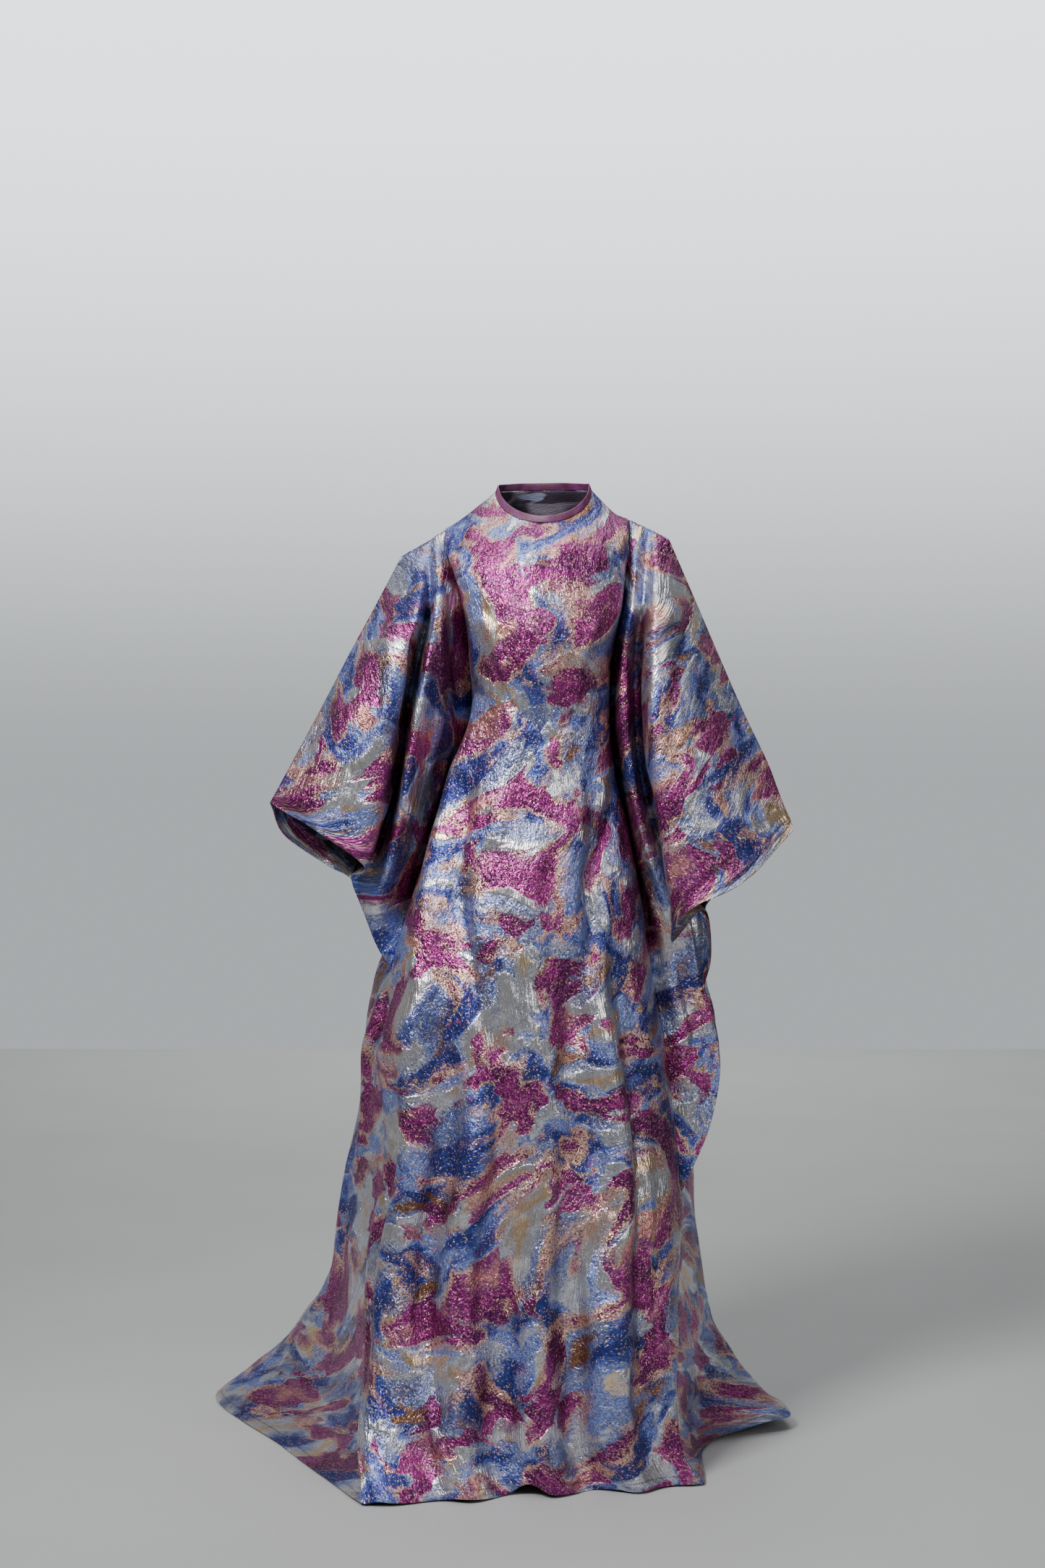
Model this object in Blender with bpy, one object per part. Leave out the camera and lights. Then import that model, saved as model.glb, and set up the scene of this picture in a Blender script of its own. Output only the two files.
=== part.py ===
"""A worn, floor-length kaftan of marbled brocade, hollow, on a general figure.

Tables are in millimetres: x to the viewer's right, y away from the viewer, height above the
floor. Each table is one sewn panel. A row is a level down the garment, and each column is one
fold line, edge or seam, as (x, y, height). The tables give the outside of the cloth, and the
wall is made inwards from it.
"""

import bpy
import numpy as np

MM = 0.001
WEARER_X = -15.0
MOUNT_HEIGHT = 1400.0

CLOTH_WALL = 1.6
SEAM_SETBACK = 0.35
SEAM_GAP = 0.5
MITRE_LIMIT = 1.25

LEVEL_NECK = 0
LEVEL_SHOULDER = 6
LEVEL_LEFT_WING = 24
LEVEL_RIGHT_WING = 33
LEVEL_HEM = 44
SEAM_FADE_LEVELS = 3

# The long panels are each held as an upper and a lower solid, parted across the cloth here
LEVEL_WAIST = 15
WAIST_SETBACK = 0.25

# Where the front panel meets the left sleeve, then the left side seam
LEFT_FRONT_LINE = [
    (0, -88, 10, 1448),
    (3, -134, 8, 1411),
    (5, -154, 6, 1397),
    (6, -163, 5, 1391),
    (9, -139, -48, 1285),
    (12, -127, -50, 1204),
    (15, -125, -30, 1114),
    (18, -154, -15, 1031),
    (20, -175, -15, 957),
    (22, -206, -20, 860),
    (24, -243, -25, 732),
    (26, -248, -38, 665),
    (28, -264, -48, 605),
    (30, -256, -58, 550),
    (32, -251, -64, 490),
    (34, -256, -64, 420),
    (36, -274, -64, 340),
    (38, -279, -84, 250),
    (40, -277, -118, 155),
    (42, -283, -168, 72),
    (44, -271, -245, 4),
]

# Where the front panel meets the right sleeve, then the right side seam
RIGHT_FRONT_LINE = [
    (0, 58, 10, 1450),
    (3, 92, 8, 1416),
    (5, 106, 6, 1409),
    (6, 112, 5, 1406),
    (9, 103, -55, 1285),
    (12, 88, -50, 1204),
    (15, 85, -30, 1114),
    (18, 93, -15, 1031),
    (21, 113, -10, 935),
    (24, 130, -10, 850),
    (26, 142, -13, 770),
    (28, 155, -18, 680),
    (30, 170, -25, 595),
    (32, 184, -33, 470),
    (33, 190, -38, 400),
    (35, 186, -70, 325),
    (37, 180, -96, 262),
    (39, 180, -115, 200),
    (41, 176, -135, 120),
    (43, 190, -152, 35),
    (44, 214, -156, 4),
]

# Middle of the front panel: level, y, height, and how round the section is across
FRONT_MIDDLE = [
    (0, -68, 1392, 1.0),
    (3, -112, 1345, 1.0),
    (6, -130, 1295, 1.0),
    (9, -140, 1235, 0.95),
    (12, -134, 1175, 0.95),
    (15, -119, 1105, 0.95),
    (18, -121, 1030, 0.95),
    (21, -132, 945, 0.9),
    (24, -144, 845, 0.85),
    (27, -154, 740, 0.8),
    (30, -162, 620, 0.75),
    (33, -170, 480, 0.7),
    (36, -178, 345, 0.6),
    (39, -186, 205, 0.5),
    (42, -196, 75, 0.4),
    (44, -206, 4, 0.3),
]

# Largest folds down the front: across at the top and at the hem, first level, half width
# across, how far out at the hem (in where negative)
FRONT_FOLDS = [
    (0.17, 0.10, 19, 0.060, 15.0),
    (0.27, 0.22, 20, 0.050, -13.0),
    (0.36, 0.33, 19, 0.060, 14.0),
    (0.46, 0.46, 22, 0.055, -10.0),
    (0.56, 0.58, 20, 0.060, 11.0),
    (0.66, 0.69, 21, 0.050, -12.0),
    (0.75, 0.80, 19, 0.055, 15.0),
    (0.86, 0.91, 20, 0.045, -11.0),
]

# Back panel between its two edges: left of the back, left corner of the train, left back,
# middle back, right back, right corner of the train, right of the back
BACK_LINES = [
    (0, (-84, 24, 1450), (-75, 37, 1452), (-50, 52, 1455), (-15, 58, 1456), (20, 52, 1456),
     (45, 37, 1453), (54, 24, 1451)),
    (3, (-129, 30, 1411), (-118, 52, 1408), (-75, 85, 1405), (-15, 92, 1405), (45, 85, 1408),
     (80, 52, 1410), (89, 30, 1414)),
    (5, (-149, 34, 1393), (-137, 62, 1379), (-86, 99, 1365), (-15, 103, 1365), (56, 99, 1368),
     (92, 62, 1388), (103, 34, 1403)),
    (6, (-158, 36, 1384), (-145, 66, 1364), (-90, 104, 1345), (-15, 108, 1345), (60, 104, 1348),
     (97, 66, 1376), (108, 36, 1398)),
    (9, (-164, 68, 1280), (-152, 90, 1275), (-95, 118, 1265), (-20, 116, 1265), (58, 118, 1268),
     (105, 90, 1278), (115, 68, 1281)),
    (12, (-150, 86, 1202), (-140, 104, 1200), (-90, 124, 1190), (-20, 118, 1190), (52, 124, 1192),
     (96, 104, 1202), (104, 86, 1203)),
    (15, (-147, 88, 1113), (-140, 107, 1112), (-92, 124, 1105), (-20, 116, 1105), (50, 124, 1106),
     (96, 107, 1112), (103, 88, 1113)),
    (18, (-168, 92, 1030), (-160, 116, 1028), (-100, 142, 1020), (-25, 138, 1020), (58, 142, 1022),
     (106, 114, 1030), (111, 90, 1030)),
    (21, (-203, 88, 915), (-196, 124, 922), (-115, 165, 930), (-28, 168, 930), (68, 168, 932),
     (128, 122, 930), (131, 92, 932)),
    (24, (-262, 18, 736), (-266, 66, 742), (-150, 195, 820), (-30, 205, 820), (85, 195, 825),
     (160, 126, 845), (158, 94, 848)),
    (27, (-282, 18, 637), (-288, 84, 638), (-165, 225, 690), (-30, 240, 690), (100, 225, 700),
     (192, 126, 735), (184, 92, 728)),
    (30, (-285, 14, 549), (-294, 92, 548), (-180, 255, 560), (-30, 275, 560), (115, 250, 575),
     (216, 118, 600), (206, 78, 596)),
    (33, (-290, 18, 440), (-310, 108, 430), (-195, 285, 430), (-30, 310, 430), (130, 280, 440),
     (214, 90, 405), (208, 24, 402)),
    (36, (-306, 26, 332), (-321, 125, 325), (-215, 325, 300), (-30, 350, 300), (145, 310, 300),
     (222, 105, 310), (212, 16, 306)),
    (39, (-318, 40, 205), (-345, 190, 232), (-250, 375, 185), (-35, 405, 180), (160, 345, 180),
     (240, 115, 208), (220, 6, 204)),
    (41, (-342, 48, 112), (-395, 240, 160), (-280, 415, 105), (-40, 450, 95), (175, 375, 95),
     (262, 118, 150), (218, 2, 135)),
    (42, (-358, 46, 70), (-437, 278, 102), (-300, 435, 60), (-40, 480, 50), (185, 390, 50),
     (292, 116, 104), (220, 8, 85)),
    (43, (-380, 36, 32), (-495, 312, 48), (-325, 455, 22), (-45, 515, 16), (205, 405, 18),
     (330, 114, 56), (230, 24, 32)),
    (44, (-405, 12, 4), (-550, 336, 4), (-350, 480, 4), (-50, 550, 4), (230, 420, 4),
     (369, 112, 4), (244, 50, 4)),
]

# The back panel's own edges beside the sleeves, from the shoulder to the foot of each wing
LEFT_BACK_VALLEY = [
    (6, -163, 5, 1391),
    (9, -165, 45, 1285),
    (12, -150, 62, 1204),
    (15, -145, 62, 1114),
    (18, -165, 62, 1031),
    (20, -188, 56, 957),
    (22, -216, 34, 860),
    (24, -243, -25, 732),
]

RIGHT_BACK_VALLEY = [
    (6, 112, 5, 1406),
    (9, 118, 45, 1285),
    (12, 105, 62, 1204),
    (15, 103, 62, 1114),
    (18, 110, 62, 1031),
    (21, 128, 60, 935),
    (24, 146, 58, 850),
    (26, 158, 56, 770),
    (28, 170, 50, 680),
    (30, 180, 34, 595),
    (32, 186, -6, 470),
    (33, 190, -38, 400),
]

# Left sleeve, front: drape hollow, edge of the next layer, dark valley, front fold edge,
# middle of the face, overarm edge. The last row is the edge of the wing, then the cuff.
LEFT_SLEEVE_FRONT = [
    (6, (-172, 5, 1385), (-180, 5, 1380), (-188, 5, 1374), (-199, 5, 1368), (-214, 5, 1360),
     (-230, 5, 1350)),
    (9, (-153, -70, 1284), (-170, -90, 1284), (-185, -76, 1282), (-196, -94, 1279),
     (-226, -72, 1275), (-268, 0, 1277)),
    (12, (-152, -66, 1207), (-180, -104, 1207), (-198, -68, 1210), (-212, -115, 1203),
     (-254, -92, 1204), (-305, -8, 1207)),
    (15, (-162, -54, 1113), (-199, -108, 1114), (-218, -64, 1116), (-232, -124, 1111),
     (-286, -102, 1121), (-345, -18, 1128)),
    (18, (-184, -50, 1028), (-213, -104, 1032), (-232, -58, 1033), (-246, -124, 1032),
     (-312, -104, 1045), (-383, -28, 1055)),
    (20, (-200, -46, 951), (-226, -96, 958), (-246, -54, 956), (-260, -121, 959),
     (-336, -104, 984), (-405, -34, 1013)),
    (22, (-226, -40, 859), (-251, -80, 868), (-274, -44, 890), (-268, -116, 911),
     (-345, -104, 953), (-416, -38, 992)),
    (24, (-263, -24, 761), (-285, -22, 815), (-303, -20, 863), (-276, -108, 886),
     (-342, -104, 935), (-423, -40, 979)),
]

# Left sleeve, back: the same, seen from behind, with the back of the cuff lower
LEFT_SLEEVE_BACK = [
    (6, (-172, 5, 1385), (-181, 5, 1379), (-190, 5, 1373), (-203, 5, 1366), (-217, 5, 1358),
     (-230, 5, 1350)),
    (9, (-178, 55, 1283), (-195, 62, 1281), (-212, 62, 1279), (-232, 52, 1278), (-252, 32, 1277),
     (-268, 0, 1277)),
    (12, (-172, 72, 1204), (-200, 80, 1205), (-228, 80, 1206), (-258, 68, 1207),
     (-287, 38, 1207), (-305, -8, 1207)),
    (15, (-175, 76, 1114), (-212, 86, 1116), (-250, 86, 1118), (-288, 72, 1122),
     (-323, 36, 1126), (-345, -18, 1128)),
    (18, (-195, 76, 1031), (-232, 84, 1035), (-272, 82, 1040), (-318, 66, 1046),
     (-358, 28, 1052), (-383, -28, 1055)),
    (20, (-216, 66, 960), (-248, 74, 970), (-288, 72, 985), (-335, 58, 998), (-380, 22, 1008),
     (-405, -34, 1013)),
    (22, (-240, 40, 868), (-268, 44, 890), (-298, 38, 915), (-342, 44, 938), (-398, 16, 968),
     (-416, -38, 992)),
    (24, (-263, -24, 761), (-285, -22, 815), (-303, -20, 863), (-345, 26, 885),
     (-408, 14, 931), (-423, -40, 979)),
]

# Right sleeve, front: narrow drape fold, its crest, its edge, the wing's fold, the wing's
# head, dark valley, front fold edge, middle of the face, overarm edge
RIGHT_SLEEVE_FRONT = [
    (6, (119, 5, 1403), (125, 5, 1400), (131, 5, 1398), (137, 5, 1395), (142, 5, 1392),
     (147, 5, 1390), (154, 5, 1387), (163, 5, 1382), (174, 5, 1377)),
    (9, (111, -72, 1280), (116, -77, 1280), (121, -74, 1280), (126, -66, 1281), (131, -60, 1281),
     (137, -66, 1280), (148, -98, 1268), (176, -80, 1266), (218, 0, 1273)),
    (12, (95, -68, 1204), (101, -78, 1203), (108, -74, 1203), (114, -60, 1204), (121, -46, 1204),
     (131, -48, 1205), (144, -113, 1200), (188, -95, 1196), (250, -8, 1196)),
    (15, (91, -52, 1113), (98, -72, 1112), (107, -74, 1112), (114, -58, 1113), (122, -40, 1113),
     (133, -44, 1113), (142, -124, 1100), (200, -105, 1111), (282, -18, 1120)),
    (18, (100, -42, 1031), (107, -64, 1030), (115, -66, 1030), (121, -50, 1031), (128, -32, 1031),
     (139, -38, 1031), (146, -124, 1020), (221, -108, 1035), (318, -28, 1042)),
    (21, (120, -36, 935), (128, -54, 935), (136, -53, 934), (144, -38, 936), (153, -20, 938),
     (161, -38, 940), (156, -121, 946), (236, -107, 975), (332, -31, 1005)),
    (24, (144, -28, 848), (156, -37, 848), (167, -34, 850), (178, -21, 855), (190, -5, 865),
     (172, -46, 862), (164, -117, 890), (250, -106, 940), (343, -34, 975)),
    (28, (180, -16, 700), (204, -12, 730), (214, -8, 752), (218, -6, 787), (210, -2, 835),
     (176, -48, 818), (176, -113, 850), (262, -105, 900), (351, -37, 957)),
    (31, (214, -14, 590), (237, -4, 660), (226, 4, 702), (232, 4, 762), (223, 0, 822),
     (175, -56, 793), (184, -111, 831), (271, -105, 880), (354, -39, 948)),
    (33, (236, -14, 500), (250, 0, 602), (222, 8, 668), (238, 6, 747), (228, 0, 818),
     (174, -60, 774), (188, -110, 819), (275, -105, 864), (357, -40, 940)),
]

# Right sleeve, back
RIGHT_SLEEVE_BACK = [
    (6, (118, 5, 1404), (124, 5, 1401), (130, 5, 1398), (136, 5, 1395), (143, 5, 1392),
     (152, 5, 1388), (163, 5, 1382), (174, 5, 1377)),
    (9, (126, 52, 1284), (134, 57, 1283), (142, 60, 1282), (150, 62, 1281), (158, 62, 1280),
     (176, 55, 1278), (200, 34, 1275), (218, 0, 1273)),
    (12, (116, 70, 1204), (128, 76, 1203), (140, 80, 1203), (152, 82, 1202), (165, 82, 1201),
     (192, 70, 1199), (226, 40, 1197), (250, -8, 1196)),
    (15, (117, 72, 1114), (132, 80, 1114), (147, 85, 1114), (163, 87, 1114), (180, 86, 1115),
     (215, 72, 1117), (256, 38, 1119), (282, -18, 1120)),
    (18, (125, 72, 1031), (142, 80, 1031), (159, 85, 1032), (177, 87, 1033), (197, 85, 1034),
     (240, 68, 1038), (290, 32, 1041), (318, -28, 1042)),
    (21, (143, 70, 936), (160, 78, 938), (177, 82, 942), (194, 83, 950), (212, 80, 962),
     (256, 62, 985), (306, 26, 998), (332, -31, 1005)),
    (24, (163, 66, 848), (180, 72, 850), (196, 74, 856), (210, 73, 870), (224, 68, 895),
     (264, 50, 930), (318, 18, 960), (343, -34, 975)),
    (28, (192, 50, 700), (214, 54, 730), (226, 52, 755), (232, 46, 795), (230, 32, 850),
     (266, 34, 884), (326, 8, 935), (351, -37, 957)),
    (31, (222, 24, 590), (244, 32, 660), (231, 32, 702), (238, 24, 762), (231, 14, 828),
     (264, 28, 866), (328, 2, 922), (354, -39, 948)),
    (33, (236, -14, 500), (250, 0, 602), (222, 8, 668), (238, 6, 747), (228, 0, 818),
     (262, 22, 852), (329, 0, 915), (357, -40, 940)),
]

HEM_FLATTENING = 0.7
HEM_FLAT_FROM = 41

FRONT_COLUMNS = 24
BACK_COLUMNS = (3, 3, 5, 4, 4, 5, 3, 3)
LEFT_FRONT_COLUMNS = (3, 3, 3, 4, 4, 4)
LEFT_BACK_COLUMNS = (3, 3, 3, 3, 3, 3)
RIGHT_FRONT_COLUMNS = (2, 2, 1, 1, 1, 2, 4, 4, 3)
RIGHT_BACK_COLUMNS = (2, 2, 1, 1, 1, 2, 2, 3)
LEFT_WING_LINES = 3
RIGHT_WING_LINES = 5

BINDING_HEIGHT = 12.0
BINDING_WALL = 2.4
BINDING_GAP = 0.5

# Colour, roughness, metallic
CLOTH_LOOK = ((0.165, 0.095, 0.235, 1.0), 0.42, 0.45)
SLEEVE_LOOK = ((0.190, 0.120, 0.270, 1.0), 0.42, 0.45)
BACK_LOOK = ((0.150, 0.105, 0.240, 1.0), 0.42, 0.45)
BINDING_LOOK = ((0.100, 0.030, 0.080, 1.0), 0.60, 0.10)


def smooth_through(keys, points, wanted):
    """Values at the wanted keys on a smooth line through the points."""
    keys = np.asarray(keys, dtype=float)
    points = np.asarray(points, dtype=float)
    steps = np.diff(keys)
    slopes = np.diff(points, axis=0) / steps[:, None]
    tangents = np.empty_like(points)
    tangents[0] = slopes[0]
    tangents[-1] = slopes[-1]
    before = steps[:-1, None]
    after = steps[1:, None]
    tangents[1:-1] = (slopes[:-1] * after + slopes[1:] * before) / (before + after)
    place = np.clip(np.searchsorted(keys, wanted, side="right") - 1, 0, len(keys) - 2)
    step = steps[place]
    t = ((wanted - keys[place]) / step)[:, None]
    step = step[:, None]
    return ((2 * t**3 - 3 * t**2 + 1) * points[place]
            + (t**3 - 2 * t**2 + t) * step * tangents[place]
            + (3 * t**2 - 2 * t**3) * points[place + 1]
            + (t**3 - t**2) * step * tangents[place + 1])


def line_at(table, levels):
    """A fold line or edge at each level."""
    rows = np.array(table, dtype=float)
    return smooth_through(rows[:, 0], rows[:, 1:], levels)


def lines_at(table, levels):
    """Every fold line of a panel's table at each level."""
    keys = [row[0] for row in table]
    count = len(table[0]) - 1
    lines = []
    for number in range(count):
        points = [row[number + 1] for row in table]
        lines.append(smooth_through(keys, points, levels))
    return lines


def weave(lines, counts):
    """A grid of points, level by level, smooth across the fold lines."""
    stack = np.stack(lines, axis=1)
    rows = []
    for points in stack:
        lengths = np.linalg.norm(np.diff(points, axis=0), axis=1)
        keys = np.concatenate([[0.0], np.cumsum(np.maximum(lengths, 0.5) ** 0.5)])
        wanted = [keys[0]]
        for number, count in enumerate(counts):
            for step in range(1, count + 1):
                wanted.append(keys[number] + (keys[number + 1] - keys[number]) * step / count)
        rows.append(smooth_through(keys, points, np.array(wanted)))
    return np.array(rows)


def normals_of(grid):
    """Unit normals of a grid of points, each the mean of the cells that meet there."""
    down = grid[1:, :-1] - grid[:-1, 1:]
    across = grid[1:, 1:] - grid[:-1, :-1]
    cell = np.cross(across, down)
    cell /= np.maximum(np.linalg.norm(cell, axis=2, keepdims=True), 1e-9)
    normal = np.zeros_like(grid)
    normal[:-1, :-1] += cell
    normal[1:, :-1] += cell
    normal[:-1, 1:] += cell
    normal[1:, 1:] += cell
    size = np.linalg.norm(normal, axis=2, keepdims=True)
    return normal / np.maximum(size, 1e-9)


def front_panel_grid():
    """Front panel: a round section between its two edges, with the folds of the skirt."""
    levels = np.arange(LEVEL_NECK, LEVEL_HEM + 1, dtype=float)
    left = line_at(LEFT_FRONT_LINE, levels)
    right = line_at(RIGHT_FRONT_LINE, levels)
    middle = line_at(FRONT_MIDDLE, levels)
    across = np.linspace(0.0, 1.0, FRONT_COLUMNS + 1)
    grid = np.zeros((len(levels), len(across), 3))
    for row, level in enumerate(levels):
        roundness = middle[row, 2]
        bow = np.sin(np.pi * across)
        place = (1.0 - roundness) * across + roundness * (1.0 - np.cos(np.pi * across)) / 2.0
        straight = left[row] + (right[row] - left[row]) * place[:, None]
        half_way = (left[row] + right[row]) / 2.0
        fullness = bow ** (0.62 + 0.28 * roundness)
        grid[row] = straight
        grid[row, :, 1] += (middle[row, 0] - half_way[1]) * fullness
        grid[row, :, 2] += (middle[row, 1] - half_way[2]) * bow
        for top, foot, first, half, out in FRONT_FOLDS:
            down = np.clip((level - first) / (LEVEL_HEM - first), 0.0, 1.0)
            centre = top + (foot - top) * down
            ridge = np.exp(-((place - centre) / half) ** 2)
            settled = 1.0 - HEM_FLATTENING * np.clip((level - HEM_FLAT_FROM) / 3.0, 0.0, 1.0)
            grid[row, :, 1] -= out * down ** 0.7 * settled * ridge * np.minimum(1.0, bow * 3.0)
    return grid


def back_edge(front_line, valley, last_level, levels):
    """Edge of the back panel: shoulder seam, then beside the sleeve, then the side seam."""
    edge = line_at(front_line, levels)
    beside = (levels >= LEVEL_SHOULDER) & (levels <= last_level)
    edge[beside] = line_at(valley, levels[beside])
    return edge


def back_panel_grid():
    """Back panel with its train."""
    levels = np.arange(LEVEL_NECK, LEVEL_HEM + 1, dtype=float)
    left = back_edge(LEFT_FRONT_LINE, LEFT_BACK_VALLEY, LEVEL_LEFT_WING, levels)
    right = back_edge(RIGHT_FRONT_LINE, RIGHT_BACK_VALLEY, LEVEL_RIGHT_WING, levels)
    lines = [left] + lines_at(BACK_LINES, levels) + [right]
    return weave(lines, BACK_COLUMNS)


def sleeve_grid(table, body_edge, counts, last_level):
    """One side of a sleeve, from its join with the body to the overarm edge."""
    levels = np.arange(LEVEL_SHOULDER, last_level + 1, dtype=float)
    lines = [line_at(body_edge, levels)] + lines_at(table, levels)
    return weave(lines, counts)


def match_wing_edges(front, back, front_count, back_count):
    """Give the back of the wing the front's lower edge."""
    change = front[-1, :front_count + 1] - back[-1, :back_count + 1]
    back[-1, :back_count + 1] += change
    back[-2, 1:back_count + 1] += change[1:] * 0.5
    back[-3, 1:back_count + 1] += change[1:] * 0.2


def seam_step(front_out, back_out):
    """How far back an edge moves for its wall to clear the wall of the front edge."""
    lean = np.maximum(-front_out[..., 1], 0.0) + np.maximum(back_out[..., 1], 0.0)
    return SEAM_GAP + CLOTH_WALL * lean


def part_seams(sleeve_front, sleeve_back, front_out, back_out, back, side, last_level, counts):
    """Move the back's edges behind the front's along the shoulder, overarm and wing."""
    front_count, back_count = counts
    overarm = seam_step(front_out[:, -1], back_out[:, -1])
    wing = seam_step(front_out[-1, :front_count + 1], back_out[-1, :back_count + 1])
    shoulder = float(overarm[0])
    foot = float(wing[0])
    rows = sleeve_back.shape[0]
    sleeve_back[:, -1, 1] += overarm
    sleeve_back[0, :-1, 1] += shoulder
    sleeve_back[-1, :back_count + 1, 1] += wing
    beside = np.linspace(shoulder, foot, rows)
    sleeve_back[1:-1, 0, 1] += beside[1:-1]
    back[LEVEL_SHOULDER:last_level + 1, side, 1] += beside
    back[:LEVEL_SHOULDER, side, 1] += shoulder
    fade = np.linspace(foot, 0.0, SEAM_FADE_LEVELS + 1)[1:]
    back[last_level + 1:last_level + 1 + SEAM_FADE_LEVELS, side, 1] += fade


def share_normals(first, first_place, second, second_place):
    """Give two panels one direction of wall along the seam that they share."""
    total = first[first_place] + second[second_place]
    unit = total / np.maximum(np.linalg.norm(total, axis=1, keepdims=True), 1e-9)
    for field, place in ((first, first_place), (second, second_place)):
        lean = np.maximum(np.sum(field[place] * unit, axis=1, keepdims=True), 1.0 / MITRE_LIMIT)
        field[place] = unit / lean


def draw_in(grid, column, inward):
    """Move one edge of a panel a little into its own cloth."""
    edge = grid[:, column]
    inside = grid[:, column + inward]
    run = inside - edge
    size = np.maximum(np.linalg.norm(run, axis=1, keepdims=True), 1e-9)
    return edge + run / size * SEAM_SETBACK


def part_at_waist(name, grid, normal, row, look):
    """The upper and the lower solid of a long panel, a hair apart."""
    upper = grid[:row + 1].copy()
    lower = grid[row:].copy()
    up = upper[-2] - upper[-1]
    down = lower[1] - lower[0]
    upper[-1] += up / np.linalg.norm(up, axis=1, keepdims=True) * WAIST_SETBACK
    lower[0] += down / np.linalg.norm(down, axis=1, keepdims=True) * WAIST_SETBACK
    return [add_wall(name + "_upper", upper, normal[:row + 1], look, False),
            add_wall(name + "_lower", lower, normal[row:], look, False)]


def to_metres(points):
    """Table millimetres to metres about the mount."""
    moved = np.array(points, dtype=float)
    moved[..., 0] -= WEARER_X
    moved[..., 2] -= MOUNT_HEIGHT
    return moved * MM


def add_material(name, look):
    colour, roughness, metallic = look
    material = bpy.data.materials.new(name)
    material.use_nodes = True
    shader = material.node_tree.nodes["Principled BSDF"]
    shader.inputs["Base Color"].default_value = colour
    shader.inputs["Roughness"].default_value = roughness
    shader.inputs["Metallic"].default_value = metallic
    material.diffuse_color = colour
    return material


def add_solid(name, points, faces, look):
    """One named closed body."""
    mesh = bpy.data.meshes.new(name)
    mesh.from_pydata([tuple(point) for point in points], [], faces)
    mesh.validate()
    mesh.update()
    solid = bpy.data.objects.new(name, mesh)
    solid.data.materials.append(add_material(name + "_cloth", look))
    bpy.context.scene.collection.objects.link(solid)
    return solid


def split_quad(a, b, c, d):
    return [(a, b, c), (a, c, d)]


def add_wall(name, outside, normal, look, flip):
    """A cloth wall made inwards from a grid of outside points."""
    inside = outside - normal * CLOTH_WALL
    rows, columns = outside.shape[:2]
    count = rows * columns
    points = np.concatenate([outside.reshape(-1, 3), inside.reshape(-1, 3)])

    def at(row, column, layer):
        return layer * count + row * columns + column

    faces = []
    for row in range(rows - 1):
        for column in range(columns - 1):
            corners = [(row, column), (row + 1, column), (row + 1, column + 1), (row, column + 1)]
            outer = split_quad(*[at(r, c, 0) for r, c in corners])
            faces += outer
            faces += [(c + count, b + count, a + count) for a, b, c in outer]
    rim = [(row, 0) for row in range(rows)]
    rim += [(rows - 1, column) for column in range(1, columns)]
    rim += [(row, columns - 1) for row in range(rows - 2, -1, -1)]
    rim += [(0, column) for column in range(columns - 2, 0, -1)]
    for number, corner in enumerate(rim):
        following = rim[(number + 1) % len(rim)]
        faces += split_quad(at(*corner, 0), at(*corner, 1), at(*following, 1), at(*following, 0))
    if flip:
        faces = [tuple(reversed(face)) for face in faces]
    return add_solid(name, to_metres(points), faces, look)


def add_neck_binding(front, back, front_normal, back_normal):
    """A plain band that stands on the neck edge, all the way round."""
    ring = np.concatenate([front[0], back[0][::-1]])
    lower = np.concatenate([front[1], back[1][::-1]])
    out = np.concatenate([front_normal[0], back_normal[0][::-1]])
    keep = [0]
    for number in range(1, len(ring)):
        if np.linalg.norm(ring[number] - ring[keep[-1]]) > 5.0:
            keep.append(number)
    if np.linalg.norm(ring[keep[-1]] - ring[0]) < 5.0:
        keep.pop()
    ring = ring[keep]
    rise = ring - lower[keep]
    rise /= np.linalg.norm(rise, axis=1, keepdims=True)
    rise = rise * 0.45 + np.array([0.0, 0.0, 0.55])
    for _ in range(3):
        rise = (rise + np.roll(rise, 1, axis=0) + np.roll(rise, -1, axis=0)) / 3.0
    rise /= np.linalg.norm(rise, axis=1, keepdims=True)
    run = np.roll(ring, -1, axis=0) - np.roll(ring, 1, axis=0)
    side = np.cross(run, rise)
    side /= np.linalg.norm(side, axis=1, keepdims=True)
    side *= np.sign(np.sum(side * out[keep], axis=1))[:, None]
    foot = ring + rise * BINDING_GAP
    head = ring + rise * (BINDING_GAP + BINDING_HEIGHT)
    half = side * BINDING_WALL / 2.0
    centre = -side * CLOTH_WALL / 2.0
    corners = [foot + centre + half, head + centre + half, head + centre - half, foot + centre - half]
    points = np.concatenate(corners)
    count = len(ring)
    faces = []
    for number in range(count):
        following = (number + 1) % count
        for corner in range(4):
            other = (corner + 1) % 4
            faces += split_quad(corner * count + number, corner * count + following,
                                other * count + following, other * count + number)
    solid = add_solid("neck_binding", to_metres(points), faces, BINDING_LOOK)
    return solid


def face_outwards(solid):
    """Turn a closed body's faces outwards where its signed volume is below nothing."""
    mesh = solid.data
    mesh.calc_loop_triangles()
    volume = 0.0
    for triangle in mesh.loop_triangles:
        a, b, c = (mesh.vertices[index].co for index in triangle.vertices)
        volume += a.dot(b.cross(c)) / 6.0
    if volume < 0.0:
        mesh.flip_normals()
        mesh.update()


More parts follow.
